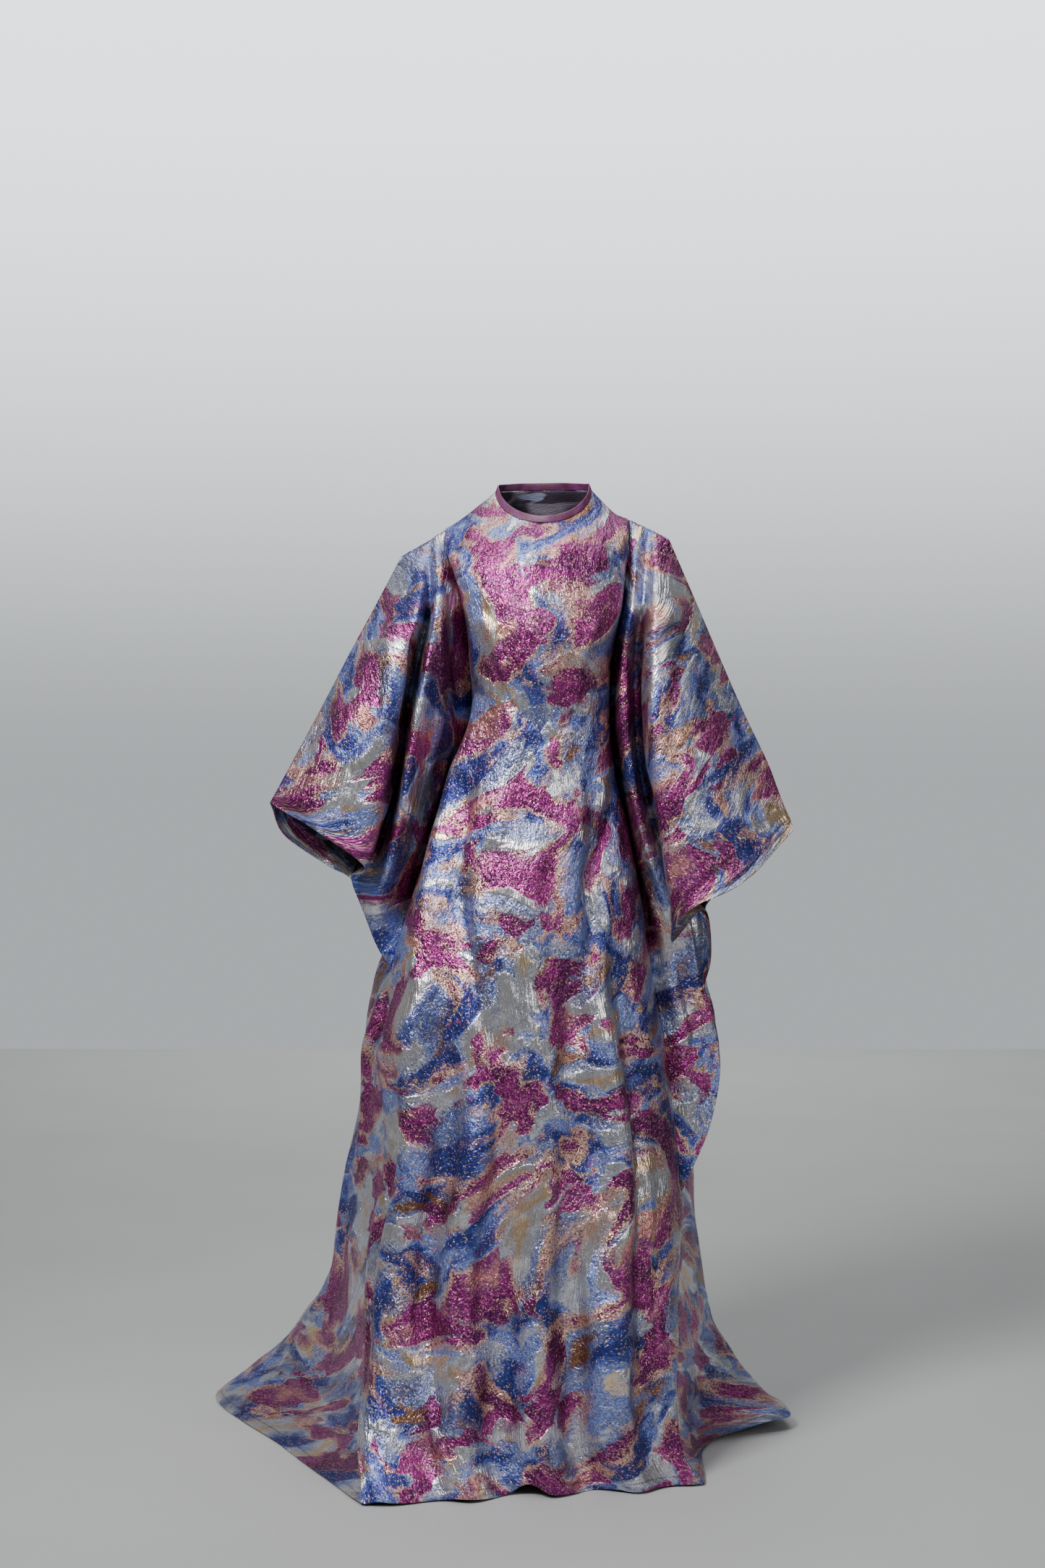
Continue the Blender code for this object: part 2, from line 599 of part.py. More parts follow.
def build_kaftan():
    front = front_panel_grid()
    back = back_panel_grid()
    left_front = sleeve_grid(LEFT_SLEEVE_FRONT, LEFT_FRONT_LINE, LEFT_FRONT_COLUMNS,
                             LEVEL_LEFT_WING)
    right_front = sleeve_grid(RIGHT_SLEEVE_FRONT, RIGHT_FRONT_LINE, RIGHT_FRONT_COLUMNS,
                              LEVEL_RIGHT_WING)
    left_back = sleeve_grid(LEFT_SLEEVE_BACK, LEFT_BACK_VALLEY, LEFT_BACK_COLUMNS,
                            LEVEL_LEFT_WING)
    right_back = sleeve_grid(RIGHT_SLEEVE_BACK, RIGHT_BACK_VALLEY, RIGHT_BACK_COLUMNS,
                             LEVEL_RIGHT_WING)
    left_counts = (sum(LEFT_FRONT_COLUMNS[:LEFT_WING_LINES]),
                   sum(LEFT_BACK_COLUMNS[:LEFT_WING_LINES]))
    right_counts = (sum(RIGHT_FRONT_COLUMNS[:RIGHT_WING_LINES]),
                    sum(RIGHT_BACK_COLUMNS[:RIGHT_WING_LINES]))
    match_wing_edges(left_front, left_back, *left_counts)
    match_wing_edges(right_front, right_back, *right_counts)

    front_out = -normals_of(front)
    back_out = -normals_of(back)
    left_front_out = normals_of(left_front)
    right_front_out = -normals_of(right_front)
    left_back_out = -normals_of(left_back)
    right_back_out = normals_of(right_back)
    for field, side in ((front_out, -1.0), (left_front_out, -1.0), (right_front_out, -1.0),
                        (back_out, 1.0), (left_back_out, 1.0), (right_back_out, 1.0)):
        if np.mean(field[..., 1]) * side < 0.0:
            field *= -1.0

    beside_left = np.arange(LEVEL_SHOULDER, LEVEL_LEFT_WING + 1)
    beside_right = np.arange(LEVEL_SHOULDER, LEVEL_RIGHT_WING + 1)
    below_left = np.arange(LEVEL_LEFT_WING + 1, LEVEL_HEM + 1)
    below_right = np.arange(LEVEL_RIGHT_WING + 1, LEVEL_HEM + 1)
    first_left = beside_left - LEVEL_SHOULDER
    first_right = beside_right - LEVEL_SHOULDER
    share_normals(front_out, (beside_left, 0), left_front_out, (first_left, 0))
    share_normals(front_out, (beside_right, -1), right_front_out, (first_right, 0))
    share_normals(back_out, (beside_left, 0), left_back_out, (first_left, 0))
    share_normals(back_out, (beside_right, -1), right_back_out, (first_right, 0))
    share_normals(front_out, (below_left, 0), back_out, (below_left, 0))
    share_normals(front_out, (below_right, -1), back_out, (below_right, -1))

    part_seams(left_front, left_back, left_front_out, left_back_out, back, 0,
               LEVEL_LEFT_WING, left_counts)
    part_seams(right_front, right_back, right_front_out, right_back_out, back, -1,
               LEVEL_RIGHT_WING, right_counts)
    for grid in (front, back):
        left_edge = draw_in(grid, 0, 1)
        right_edge = draw_in(grid, -1, -1)
        grid[:, 0] = left_edge
        grid[:, -1] = right_edge
    for grid in (left_front, right_front, left_back, right_back):
        grid[:, 0] = draw_in(grid, 0, 1)

    solids = part_at_waist("front", front, front_out, LEVEL_WAIST, CLOTH_LOOK)
    solids += part_at_waist("back", back, back_out, LEVEL_WAIST, BACK_LOOK)
    solids += part_at_waist("right_sleeve_back", right_back, right_back_out,
                            LEVEL_WAIST - LEVEL_SHOULDER, SLEEVE_LOOK)
    solids += [
        add_wall("left_sleeve_front", left_front, left_front_out, SLEEVE_LOOK, False),
        add_wall("left_sleeve_back", left_back, left_back_out, SLEEVE_LOOK, False),
        add_wall("right_sleeve_front", right_front, right_front_out, SLEEVE_LOOK, False),
        add_neck_binding(front, back, front_out, back_out),
    ]
    for solid in solids:
        face_outwards(solid)


for old in list(bpy.data.objects):
    bpy.data.objects.remove(old, do_unlink=True)

build_kaftan()
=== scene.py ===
"""A worn kaftan of marbled lame brocade, hollow, in the fall that it has on a general figure.

Sizes in the tables are millimetres: x to the viewer's right, y away from the viewer, height
above the floor. Each table is one sewn panel. A row is a level down the garment, and each
column is one fold line, edge or seam, as (x, y, height).
"""

import math

import bpy
import mathutils
import numpy as np
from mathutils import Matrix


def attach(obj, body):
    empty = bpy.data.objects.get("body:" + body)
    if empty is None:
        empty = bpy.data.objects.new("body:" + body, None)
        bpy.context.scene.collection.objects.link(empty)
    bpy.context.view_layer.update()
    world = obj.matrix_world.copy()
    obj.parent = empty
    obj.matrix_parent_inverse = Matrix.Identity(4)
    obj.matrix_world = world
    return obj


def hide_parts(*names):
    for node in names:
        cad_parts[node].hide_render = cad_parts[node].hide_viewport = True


bl_info = {
    "name": "Worn Kaftan",
    "version": (1, 0, 0),
    "blender": (4, 5, 0),
    "location": "View3D > Sidebar > Kaftan",
    "description": "Builds a worn kaftan of marbled brocade with its stage",
    "category": "Add Mesh",
}

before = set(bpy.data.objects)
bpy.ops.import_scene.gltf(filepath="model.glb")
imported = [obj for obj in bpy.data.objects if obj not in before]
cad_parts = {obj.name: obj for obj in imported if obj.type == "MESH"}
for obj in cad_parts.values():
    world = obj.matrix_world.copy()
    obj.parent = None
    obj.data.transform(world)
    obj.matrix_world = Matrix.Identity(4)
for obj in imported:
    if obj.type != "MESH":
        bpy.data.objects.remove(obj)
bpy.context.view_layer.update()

MM = 0.001
WEARER_X = -15.0
MOUNT_HEIGHT = 1400.0
BODY = "root"
FACING = {"front": -1.0, "back": 1.0}

# Levels down the garment, and how finely the render divides levels and columns
LEVEL_NECK = 0
LEVEL_SHOULDER = 6
LEVEL_LEFT_WING = 24
LEVEL_RIGHT_WING = 33
LEVEL_HEM = 44
ROWS_PER_LEVEL = 5
COLUMNS_PER_STEP = 5

# Where the front panel meets the left sleeve, then the left side seam
LEFT_FRONT_LINE = [
    (0, -88, 10, 1448),
    (3, -134, 8, 1411),
    (5, -154, 6, 1397),
    (6, -163, 5, 1391),
    (9, -139, -48, 1285),
    (12, -127, -50, 1204),
    (15, -125, -30, 1114),
    (18, -154, -15, 1031),
    (20, -175, -15, 957),
    (22, -206, -20, 860),
    (24, -243, -25, 732),
    (26, -248, -38, 665),
    (28, -264, -48, 605),
    (30, -256, -58, 550),
    (32, -251, -64, 490),
    (34, -256, -64, 420),
    (36, -274, -64, 340),
    (38, -279, -84, 250),
    (40, -277, -118, 155),
    (42, -283, -168, 72),
    (44, -271, -245, 4),
]

# Where the front panel meets the right sleeve, then the right side seam
RIGHT_FRONT_LINE = [
    (0, 58, 10, 1450),
    (3, 92, 8, 1416),
    (5, 106, 6, 1409),
    (6, 112, 5, 1406),
    (9, 103, -55, 1285),
    (12, 88, -50, 1204),
    (15, 85, -30, 1114),
    (18, 93, -15, 1031),
    (21, 113, -10, 935),
    (24, 130, -10, 850),
    (26, 142, -13, 770),
    (28, 155, -18, 680),
    (30, 170, -25, 595),
    (32, 184, -33, 470),
    (33, 190, -38, 400),
    (35, 186, -70, 325),
    (37, 180, -96, 262),
    (39, 180, -115, 200),
    (41, 176, -135, 120),
    (43, 190, -152, 35),
    (44, 214, -156, 4),
]

# Middle of the front panel: level, y, height, and how round the section is across
FRONT_MIDDLE = [
    (0, -68, 1392, 1.0),
    (3, -112, 1345, 1.0),
    (6, -130, 1295, 1.0),
    (9, -140, 1235, 0.95),
    (12, -134, 1175, 0.95),
    (15, -119, 1105, 0.95),
    (18, -121, 1030, 0.95),
    (21, -132, 945, 0.9),
    (24, -144, 845, 0.85),
    (27, -154, 740, 0.8),
    (30, -162, 620, 0.75),
    (33, -170, 480, 0.7),
    (36, -178, 345, 0.6),
    (39, -186, 205, 0.5),
    (42, -196, 75, 0.4),
    (44, -206, 4, 0.3),
]

# Largest folds down the front: across at the top and at the hem, first level, half width
# across, how far out at the hem (in where negative)
FRONT_FOLDS = [
    (0.17, 0.10, 19, 0.060, 15.0),
    (0.27, 0.22, 20, 0.050, -13.0),
    (0.36, 0.33, 19, 0.060, 14.0),
    (0.46, 0.46, 22, 0.055, -10.0),
    (0.56, 0.58, 20, 0.060, 11.0),
    (0.66, 0.69, 21, 0.050, -12.0),
    (0.75, 0.80, 19, 0.055, 15.0),
    (0.86, 0.91, 20, 0.045, -11.0),
]

# Back panel between its two edges: left of the back, left corner of the train, left back,
# middle back, right back, right corner of the train, right of the back
BACK_LINES = [
    (0, (-84, 24, 1450), (-75, 37, 1452), (-50, 52, 1455), (-15, 58, 1456), (20, 52, 1456),
     (45, 37, 1453), (54, 24, 1451)),
    (3, (-129, 30, 1411), (-118, 52, 1408), (-75, 85, 1405), (-15, 92, 1405), (45, 85, 1408),
     (80, 52, 1410), (89, 30, 1414)),
    (5, (-149, 34, 1393), (-137, 62, 1379), (-86, 99, 1365), (-15, 103, 1365), (56, 99, 1368),
     (92, 62, 1388), (103, 34, 1403)),
    (6, (-158, 36, 1384), (-145, 66, 1364), (-90, 104, 1345), (-15, 108, 1345), (60, 104, 1348),
     (97, 66, 1376), (108, 36, 1398)),
    (9, (-164, 68, 1280), (-152, 90, 1275), (-95, 118, 1265), (-20, 116, 1265), (58, 118, 1268),
     (105, 90, 1278), (115, 68, 1281)),
    (12, (-150, 86, 1202), (-140, 104, 1200), (-90, 124, 1190), (-20, 118, 1190), (52, 124, 1192),
     (96, 104, 1202), (104, 86, 1203)),
    (15, (-147, 88, 1113), (-140, 107, 1112), (-92, 124, 1105), (-20, 116, 1105), (50, 124, 1106),
     (96, 107, 1112), (103, 88, 1113)),
    (18, (-168, 92, 1030), (-160, 116, 1028), (-100, 142, 1020), (-25, 138, 1020), (58, 142, 1022),
     (106, 114, 1030), (111, 90, 1030)),
    (21, (-203, 88, 915), (-196, 124, 922), (-115, 165, 930), (-28, 168, 930), (68, 168, 932),
     (128, 122, 930), (131, 92, 932)),
    (24, (-262, 18, 736), (-266, 66, 742), (-150, 195, 820), (-30, 205, 820), (85, 195, 825),
     (160, 126, 845), (158, 94, 848)),
    (27, (-282, 18, 637), (-288, 84, 638), (-165, 225, 690), (-30, 240, 690), (100, 225, 700),
     (192, 126, 735), (184, 92, 728)),
    (30, (-285, 14, 549), (-294, 92, 548), (-180, 255, 560), (-30, 275, 560), (115, 250, 575),
     (216, 118, 600), (206, 78, 596)),
    (33, (-290, 18, 440), (-310, 108, 430), (-195, 285, 430), (-30, 310, 430), (130, 280, 440),
     (214, 90, 405), (208, 24, 402)),
    (36, (-306, 26, 332), (-321, 125, 325), (-215, 325, 300), (-30, 350, 300), (145, 310, 300),
     (222, 105, 310), (212, 16, 306)),
    (39, (-318, 40, 205), (-345, 190, 232), (-250, 375, 185), (-35, 405, 180), (160, 345, 180),
     (240, 115, 208), (220, 6, 204)),
    (41, (-342, 48, 112), (-395, 240, 160), (-280, 415, 105), (-40, 450, 95), (175, 375, 95),
     (262, 118, 150), (218, 2, 135)),
    (42, (-358, 46, 70), (-437, 278, 102), (-300, 435, 60), (-40, 480, 50), (185, 390, 50),
     (292, 116, 104), (220, 8, 85)),
    (43, (-380, 36, 32), (-495, 312, 48), (-325, 455, 22), (-45, 515, 16), (205, 405, 18),
     (330, 114, 56), (230, 24, 32)),
    (44, (-405, 12, 4), (-550, 336, 4), (-350, 480, 4), (-50, 550, 4), (230, 420, 4),
     (369, 112, 4), (244, 50, 4)),
]

# The back panel's own edges beside the sleeves, from the shoulder to the foot of each wing
LEFT_BACK_VALLEY = [
    (6, -163, 5, 1391),
    (9, -165, 45, 1285),
    (12, -150, 62, 1204),
    (15, -145, 62, 1114),
    (18, -165, 62, 1031),
    (20, -188, 56, 957),
    (22, -216, 34, 860),
    (24, -243, -25, 732),
]

RIGHT_BACK_VALLEY = [
    (6, 112, 5, 1406),
    (9, 118, 45, 1285),
    (12, 105, 62, 1204),
    (15, 103, 62, 1114),
    (18, 110, 62, 1031),
    (21, 128, 60, 935),
    (24, 146, 58, 850),
    (26, 158, 56, 770),
    (28, 170, 50, 680),
    (30, 180, 34, 595),
    (32, 186, -6, 470),
    (33, 190, -38, 400),
]

# Left sleeve, front: drape hollow, edge of the next layer, dark valley, front fold edge,
# middle of the face, overarm edge. The last row is the edge of the wing, then the cuff.
LEFT_SLEEVE_FRONT = [
    (6, (-172, 5, 1385), (-180, 5, 1380), (-188, 5, 1374), (-199, 5, 1368), (-214, 5, 1360),
     (-230, 5, 1350)),
    (9, (-153, -70, 1284), (-170, -90, 1284), (-185, -76, 1282), (-196, -94, 1279),
     (-226, -72, 1275), (-268, 0, 1277)),
    (12, (-152, -66, 1207), (-180, -104, 1207), (-198, -68, 1210), (-212, -115, 1203),
     (-254, -92, 1204), (-305, -8, 1207)),
    (15, (-162, -54, 1113), (-199, -108, 1114), (-218, -64, 1116), (-232, -124, 1111),
     (-286, -102, 1121), (-345, -18, 1128)),
    (18, (-184, -50, 1028), (-213, -104, 1032), (-232, -58, 1033), (-246, -124, 1032),
     (-312, -104, 1045), (-383, -28, 1055)),
    (20, (-200, -46, 951), (-226, -96, 958), (-246, -54, 956), (-260, -121, 959),
     (-336, -104, 984), (-405, -34, 1013)),
    (22, (-226, -40, 859), (-251, -80, 868), (-274, -44, 890), (-268, -116, 911),
     (-345, -104, 953), (-416, -38, 992)),
    (24, (-263, -24, 761), (-285, -22, 815), (-303, -20, 863), (-276, -108, 886),
     (-342, -104, 935), (-423, -40, 979)),
]

# Left sleeve, back: the same, seen from behind, with the back of the cuff lower
LEFT_SLEEVE_BACK = [
    (6, (-172, 5, 1385), (-181, 5, 1379), (-190, 5, 1373), (-203, 5, 1366), (-217, 5, 1358),
     (-230, 5, 1350)),
    (9, (-178, 55, 1283), (-195, 62, 1281), (-212, 62, 1279), (-232, 52, 1278), (-252, 32, 1277),
     (-268, 0, 1277)),
    (12, (-172, 72, 1204), (-200, 80, 1205), (-228, 80, 1206), (-258, 68, 1207),
     (-287, 38, 1207), (-305, -8, 1207)),
    (15, (-175, 76, 1114), (-212, 86, 1116), (-250, 86, 1118), (-288, 72, 1122),
     (-323, 36, 1126), (-345, -18, 1128)),
    (18, (-195, 76, 1031), (-232, 84, 1035), (-272, 82, 1040), (-318, 66, 1046),
     (-358, 28, 1052), (-383, -28, 1055)),
    (20, (-216, 66, 960), (-248, 74, 970), (-288, 72, 985), (-335, 58, 998), (-380, 22, 1008),
     (-405, -34, 1013)),
    (22, (-240, 40, 868), (-268, 44, 890), (-298, 38, 915), (-342, 44, 938), (-398, 16, 968),
     (-416, -38, 992)),
    (24, (-263, -24, 761), (-285, -22, 815), (-303, -20, 863), (-345, 26, 885),
     (-408, 14, 931), (-423, -40, 979)),
]

# Right sleeve, front: narrow drape fold, its crest, its edge, the wing's fold, the wing's
# head, dark valley, front fold edge, middle of the face, overarm edge
RIGHT_SLEEVE_FRONT = [
    (6, (119, 5, 1403), (125, 5, 1400), (131, 5, 1398), (137, 5, 1395), (142, 5, 1392),
     (147, 5, 1390), (154, 5, 1387), (163, 5, 1382), (174, 5, 1377)),
    (9, (111, -72, 1280), (116, -77, 1280), (121, -74, 1280), (126, -66, 1281), (131, -60, 1281),
     (137, -66, 1280), (148, -98, 1268), (176, -80, 1266), (218, 0, 1273)),
    (12, (95, -68, 1204), (101, -78, 1203), (108, -74, 1203), (114, -60, 1204), (121, -46, 1204),
     (131, -48, 1205), (144, -113, 1200), (188, -95, 1196), (250, -8, 1196)),
    (15, (91, -52, 1113), (98, -72, 1112), (107, -74, 1112), (114, -58, 1113), (122, -40, 1113),
     (133, -44, 1113), (142, -124, 1100), (200, -105, 1111), (282, -18, 1120)),
    (18, (100, -42, 1031), (107, -64, 1030), (115, -66, 1030), (121, -50, 1031), (128, -32, 1031),
     (139, -38, 1031), (146, -124, 1020), (221, -108, 1035), (318, -28, 1042)),
    (21, (120, -36, 935), (128, -54, 935), (136, -53, 934), (144, -38, 936), (153, -20, 938),
     (161, -38, 940), (156, -121, 946), (236, -107, 975), (332, -31, 1005)),
    (24, (144, -28, 848), (156, -37, 848), (167, -34, 850), (178, -21, 855), (190, -5, 865),
     (172, -46, 862), (164, -117, 890), (250, -106, 940), (343, -34, 975)),
    (28, (180, -16, 700), (204, -12, 730), (214, -8, 752), (218, -6, 787), (210, -2, 835),
     (176, -48, 818), (176, -113, 850), (262, -105, 900), (351, -37, 957)),
    (31, (214, -14, 590), (237, -4, 660), (226, 4, 702), (232, 4, 762), (223, 0, 822),
     (175, -56, 793), (184, -111, 831), (271, -105, 880), (354, -39, 948)),
    (33, (236, -14, 500), (250, 0, 602), (222, 8, 668), (238, 6, 747), (228, 0, 818),
     (174, -60, 774), (188, -110, 819), (275, -105, 864), (357, -40, 940)),
]

# Right sleeve, back
RIGHT_SLEEVE_BACK = [
    (6, (118, 5, 1404), (124, 5, 1401), (130, 5, 1398), (136, 5, 1395), (143, 5, 1392),
     (152, 5, 1388), (163, 5, 1382), (174, 5, 1377)),
    (9, (126, 52, 1284), (134, 57, 1283), (142, 60, 1282), (150, 62, 1281), (158, 62, 1280),
     (176, 55, 1278), (200, 34, 1275), (218, 0, 1273)),
    (12, (116, 70, 1204), (128, 76, 1203), (140, 80, 1203), (152, 82, 1202), (165, 82, 1201),
     (192, 70, 1199), (226, 40, 1197), (250, -8, 1196)),
    (15, (117, 72, 1114), (132, 80, 1114), (147, 85, 1114), (163, 87, 1114), (180, 86, 1115),
     (215, 72, 1117), (256, 38, 1119), (282, -18, 1120)),
    (18, (125, 72, 1031), (142, 80, 1031), (159, 85, 1032), (177, 87, 1033), (197, 85, 1034),
     (240, 68, 1038), (290, 32, 1041), (318, -28, 1042)),
    (21, (143, 70, 936), (160, 78, 938), (177, 82, 942), (194, 83, 950), (212, 80, 962),
     (256, 62, 985), (306, 26, 998), (332, -31, 1005)),
    (24, (163, 66, 848), (180, 72, 850), (196, 74, 856), (210, 73, 870), (224, 68, 895),
     (264, 50, 930), (318, 18, 960), (343, -34, 975)),
    (28, (192, 50, 700), (214, 54, 730), (226, 52, 755), (232, 46, 795), (230, 32, 850),
     (266, 34, 884), (326, 8, 935), (351, -37, 957)),
    (31, (222, 24, 590), (244, 32, 660), (231, 32, 702), (238, 24, 762), (231, 14, 828),
     (264, 28, 866), (328, 2, 922), (354, -39, 948)),
    (33, (236, -14, 500), (250, 0, 602), (222, 8, 668), (238, 6, 747), (228, 0, 818),
     (262, 22, 852), (329, 0, 915), (357, -40, 940)),
]

# Where the hem stands off the floor: place across, half width, rise, and reach up the cloth
FRONT_HEM_ARCH = (-40, 24, 15, 60)
TRAIN_TIP_LIFT = (352, 62, 20, 42)

# Share by which the front's folds flatten at the hem, from which level, over how many
HEM_FLATTENING = 0.7
HEM_FLAT_FROM = 41
HEM_FLAT_LEVELS = 3.0

# How the front's folds grow down the skirt, how soon they start beside the edges, and how full
# the section is: its least exponent and what roundness adds
FOLD_GROWTH = 0.7
FOLD_START = 3.0
FULLNESS = (0.62, 0.28)

# Columns between neighbouring fold lines, before they are multiplied for the render
FRONT_COLUMNS = 24
BACK_COLUMNS = (3, 3, 5, 4, 4, 5, 3, 3)
LEFT_FRONT_COLUMNS = (3, 3, 3, 4, 4, 4)
LEFT_BACK_COLUMNS = (3, 3, 3, 3, 3, 3)
RIGHT_FRONT_COLUMNS = (2, 2, 2, 2, 2, 3, 4, 4, 4)
RIGHT_BACK_COLUMNS = (2, 2, 2, 2, 2, 3, 3, 3)
LEFT_WING_LINES = 3
RIGHT_WING_LINES = 5

# Soft creases, in millimetres of cloth: across and down at the start, across and down at the
# end, sideways bow, half width, height (a trough where negative). Across is from the middle of
# a body panel, or from the body edge of a sleeve, and down is from the neck or the shoulder.
FRONT_CREASES = [
    (-168, 720, -236, 1640, 14, 30, 15.0),
    (-128, 780, -152, 1340, 10, 22, -15.0),
    (-92, 870, -112, 1580, -8, 25, 14.0),
    (-120, 440, -34, 820, 14, 19, -15.0),
    (8, 470, -8, 930, 8, 42, 12.0),
    (-36, 850, -62, 1240, 8, 20, -13.0),
    (-32, 1090, -58, 1640, -8, 22, -13.0),
    (142, 440, 46, 880, -14, 20, -15.0),
    (40, 900, 62, 1270, -8, 20, -12.0),
    (18, 1130, 16, 1650, -6, 26, 11.0),
    (96, 560, 156, 1310, -14, 32, 15.0),
    (84, 1060, 98, 1610, 8, 20, -14.0),
    (150, 640, 204, 1290, 8, 18, -14.0),
    (142, 1160, 172, 1650, 6, 22, 13.0),
    (188, 900, 222, 1430, 5, 15, 9.0),
    (-204, 820, -262, 1420, 8, 18, -10.0),
    (-110, 330, -172, 760, 16, 20, 9.0),
    (-80, 350, -122, 740, 12, 16, -8.0),
    (84, 380, 122, 760, -12, 16, -8.5),
    (52, 420, 78, 690, -6, 20, 7.0),
    (-98, 190, -40, 340, -14, 13, 5.0),
    (92, 170, 50, 310, 12, 12, 4.5),
    (-74, 262, 12, 334, 12, 10, -3.2),
    (68, 284, 2, 356, -10, 9, -2.8),
    (-30, 300, -50, 520, 5, 20, 5.0),
    (-72, 900, -150, 1400, 12, 22, 11.0),
    (70, 960, 128, 1420, -10, 20, 11.0),
    (-190, 1200, -110, 1400, 14, 18, 8.0),
    (150, 1270, 190, 1420, 6, 9, 8.0),
]
BACK_CREASES = [
    (-40, 120, -70, 420, 8, 16, 5.5),
    (50, 130, 74, 400, -8, 15, 5.0),
    (-90, 380, -150, 900, 12, 26, -16.0),
    (0, 420, -8, 1050, 10, 34, 16.0),
    (60, 460, 110, 980, -10, 26, -17.0),
    (-60, 700, -90, 1350, 14, 30, 18.0),
    (-180, 640, -250, 1300, 16, 28, 16.0),
    (-290, 700, -420, 1380, 20, 26, -18.0),
    (160, 600, 240, 1280, -16, 28, 18.0),
    (230, 760, 330, 1300, -12, 24, -16.0),
    (-360, 980, -520, 1420, 16, 20, 14.0),
    (30, 1000, 60, 1500, -14, 32, -20.0),
    (-150, 1060, -230, 1560, 14, 28, -18.0),
    (300, 1080, 420, 1400, -10, 18, 12.0),
    (120, 1180, 160, 1560, 10, 24, 14.0),
    (-420, 700, -470, 1120, -10, 16, 10.0),
]
LEFT_FRONT_CREASES = [
    (188, 120, 250, 330, 10, 15, -6.5),
    (222, 150, 320, 390, -8, 18, 7.0),
    (262, 210, 372, 400, 8, 13, -5.0),
    (40, 90, 34, 330, 6, 11, -6.5),
    (72, 120, 66, 420, -4, 12, 5.5),
    (22, 330, 40, 520, 5, 10, 5.0),
    (200, 300, 236, 460, 6, 12, 5.0),
]
LEFT_BACK_CREASES = [
    (60, 90, 84, 420, 8, 18, -8.0),
    (110, 110, 170, 400, -8, 18, 8.0),
    (150, 160, 250, 380, 8, 14, -6.5),
    (30, 200, 40, 500, 4, 12, 6.5),
]
RIGHT_FRONT_CREASES = [
    (150, 130, 210, 420, 10, 16, 6.5),
    (190, 120, 300, 400, -8, 16, -6.0),
    (240, 200, 330, 430, 6, 12, 5.0),
    (16, 120, 14, 520, 3, 9, 5.0),
    (40, 560, 70, 830, 8, 16, -8.0),
    (24, 480, 34, 900, -6, 14, 6.5),
    (80, 600, 96, 760, 5, 10, 5.0),
]
RIGHT_BACK_CREASES = [
    (60, 100, 90, 600, 8, 18, -8.0),
    (110, 120, 180, 420, -8, 18, 8.0),
    (170, 170, 260, 400, 8, 14, -6.5),
    (30, 300, 44, 820, 4, 14, 6.5),
]

# Gentle unevenness of a stiff brocade: wave across and down in millimetres, lean, height
UNEVENNESS = [
    (173.0, 263.0, 0.4, 1.1),
    (97.0, 149.0, 1.7, 0.7),
    (61.0, 211.0, 3.1, 0.45),
    (229.0, 83.0, 5.2, 0.4),
]

# Each side of a sleeve, the front first: its fold lines, the body's edge that it joins, columns
# between its fold lines, its creases
SLEEVES = {
    "left": (
        (LEFT_SLEEVE_FRONT, LEFT_FRONT_LINE, LEFT_FRONT_COLUMNS, LEFT_FRONT_CREASES),
        (LEFT_SLEEVE_BACK, LEFT_BACK_VALLEY, LEFT_BACK_COLUMNS, LEFT_BACK_CREASES),
    ),
    "right": (
        (RIGHT_SLEEVE_FRONT, RIGHT_FRONT_LINE, RIGHT_FRONT_COLUMNS, RIGHT_FRONT_CREASES),
        (RIGHT_SLEEVE_BACK, RIGHT_BACK_VALLEY, RIGHT_BACK_COLUMNS, RIGHT_BACK_CREASES),
    ),
}

# Each wing: the level of its foot, the steps between fold lines that it takes up, the body's
# column beside it, and which way is outwards
WINGS = {
    "left": (LEVEL_LEFT_WING, LEFT_WING_LINES, 0, -1.0),
    "right": (LEVEL_RIGHT_WING, RIGHT_WING_LINES, -1, 1.0),
}
# Levels over which a wing's back edge eases onto its front one, how much further from the wing's
# seam each column past it counts in millimetres, and a sleeve's share of the unevenness
WING_EASE_LEVELS = 2
WING_FADE = 4.0
SLEEVE_EVENNESS = 0.7

# Valleys beside the body, in millimetres: extra depth, reach, and how square their half sine is,
# then the second valley's shares of the depth and of the reach
VALLEY_DEPTH = 24.0
VALLEY_REACH = 26.0
VALLEY_SHAPE = 0.7
SECOND_VALLEY = 0.8
SECOND_REACH = 0.6

# Cloth, in millimetres: how far from a held edge it moves freely, the taper of the wall to a
# seam and what is left of it there, the step at a turned hem and the share that it adds, the
# least height over the floor, and a distance that is past every hem
FREE_FROM = 25.0
SEAM_TAPER = 6.0
SEAM_WALL = 0.12
TURN_STEP = 3.0
TURN_SHARE = 0.9
FLOOR_CLEARANCE = 1.0
NOT_A_HEM = 1000.0
SHARP_ANGLE = math.radians(55.0)
# Shortest step between fold lines that a key counts, and the shortest length divided by
LEAST_STEP = 0.5
TINY = 1e-9

# Neck binding, in millimetres: lean with the panels, height, gap above the edge, half wall, how
# far it sits inside the edge, and how square its section is across and up. Then how often its
# edge is evened out, points round its section and steps round the neck.
NECK_RISE = 0.45
BINDING_HEIGHT = 12.0
BINDING_GAP = 0.3
BINDING_HALF_WALL = 1.2
BINDING_SETBACK = 0.5
BINDING_CORNERS = (0.6, 0.45)
BINDING_SMOOTHING = 12
BINDING_POINTS = 16
NECK_STEPS = 260
# Height, wave and lean of each ripple along the binding
BINDING_RIPPLES = ((0.25, 9.0, 0.0), (0.2, 5.3, 1.0))

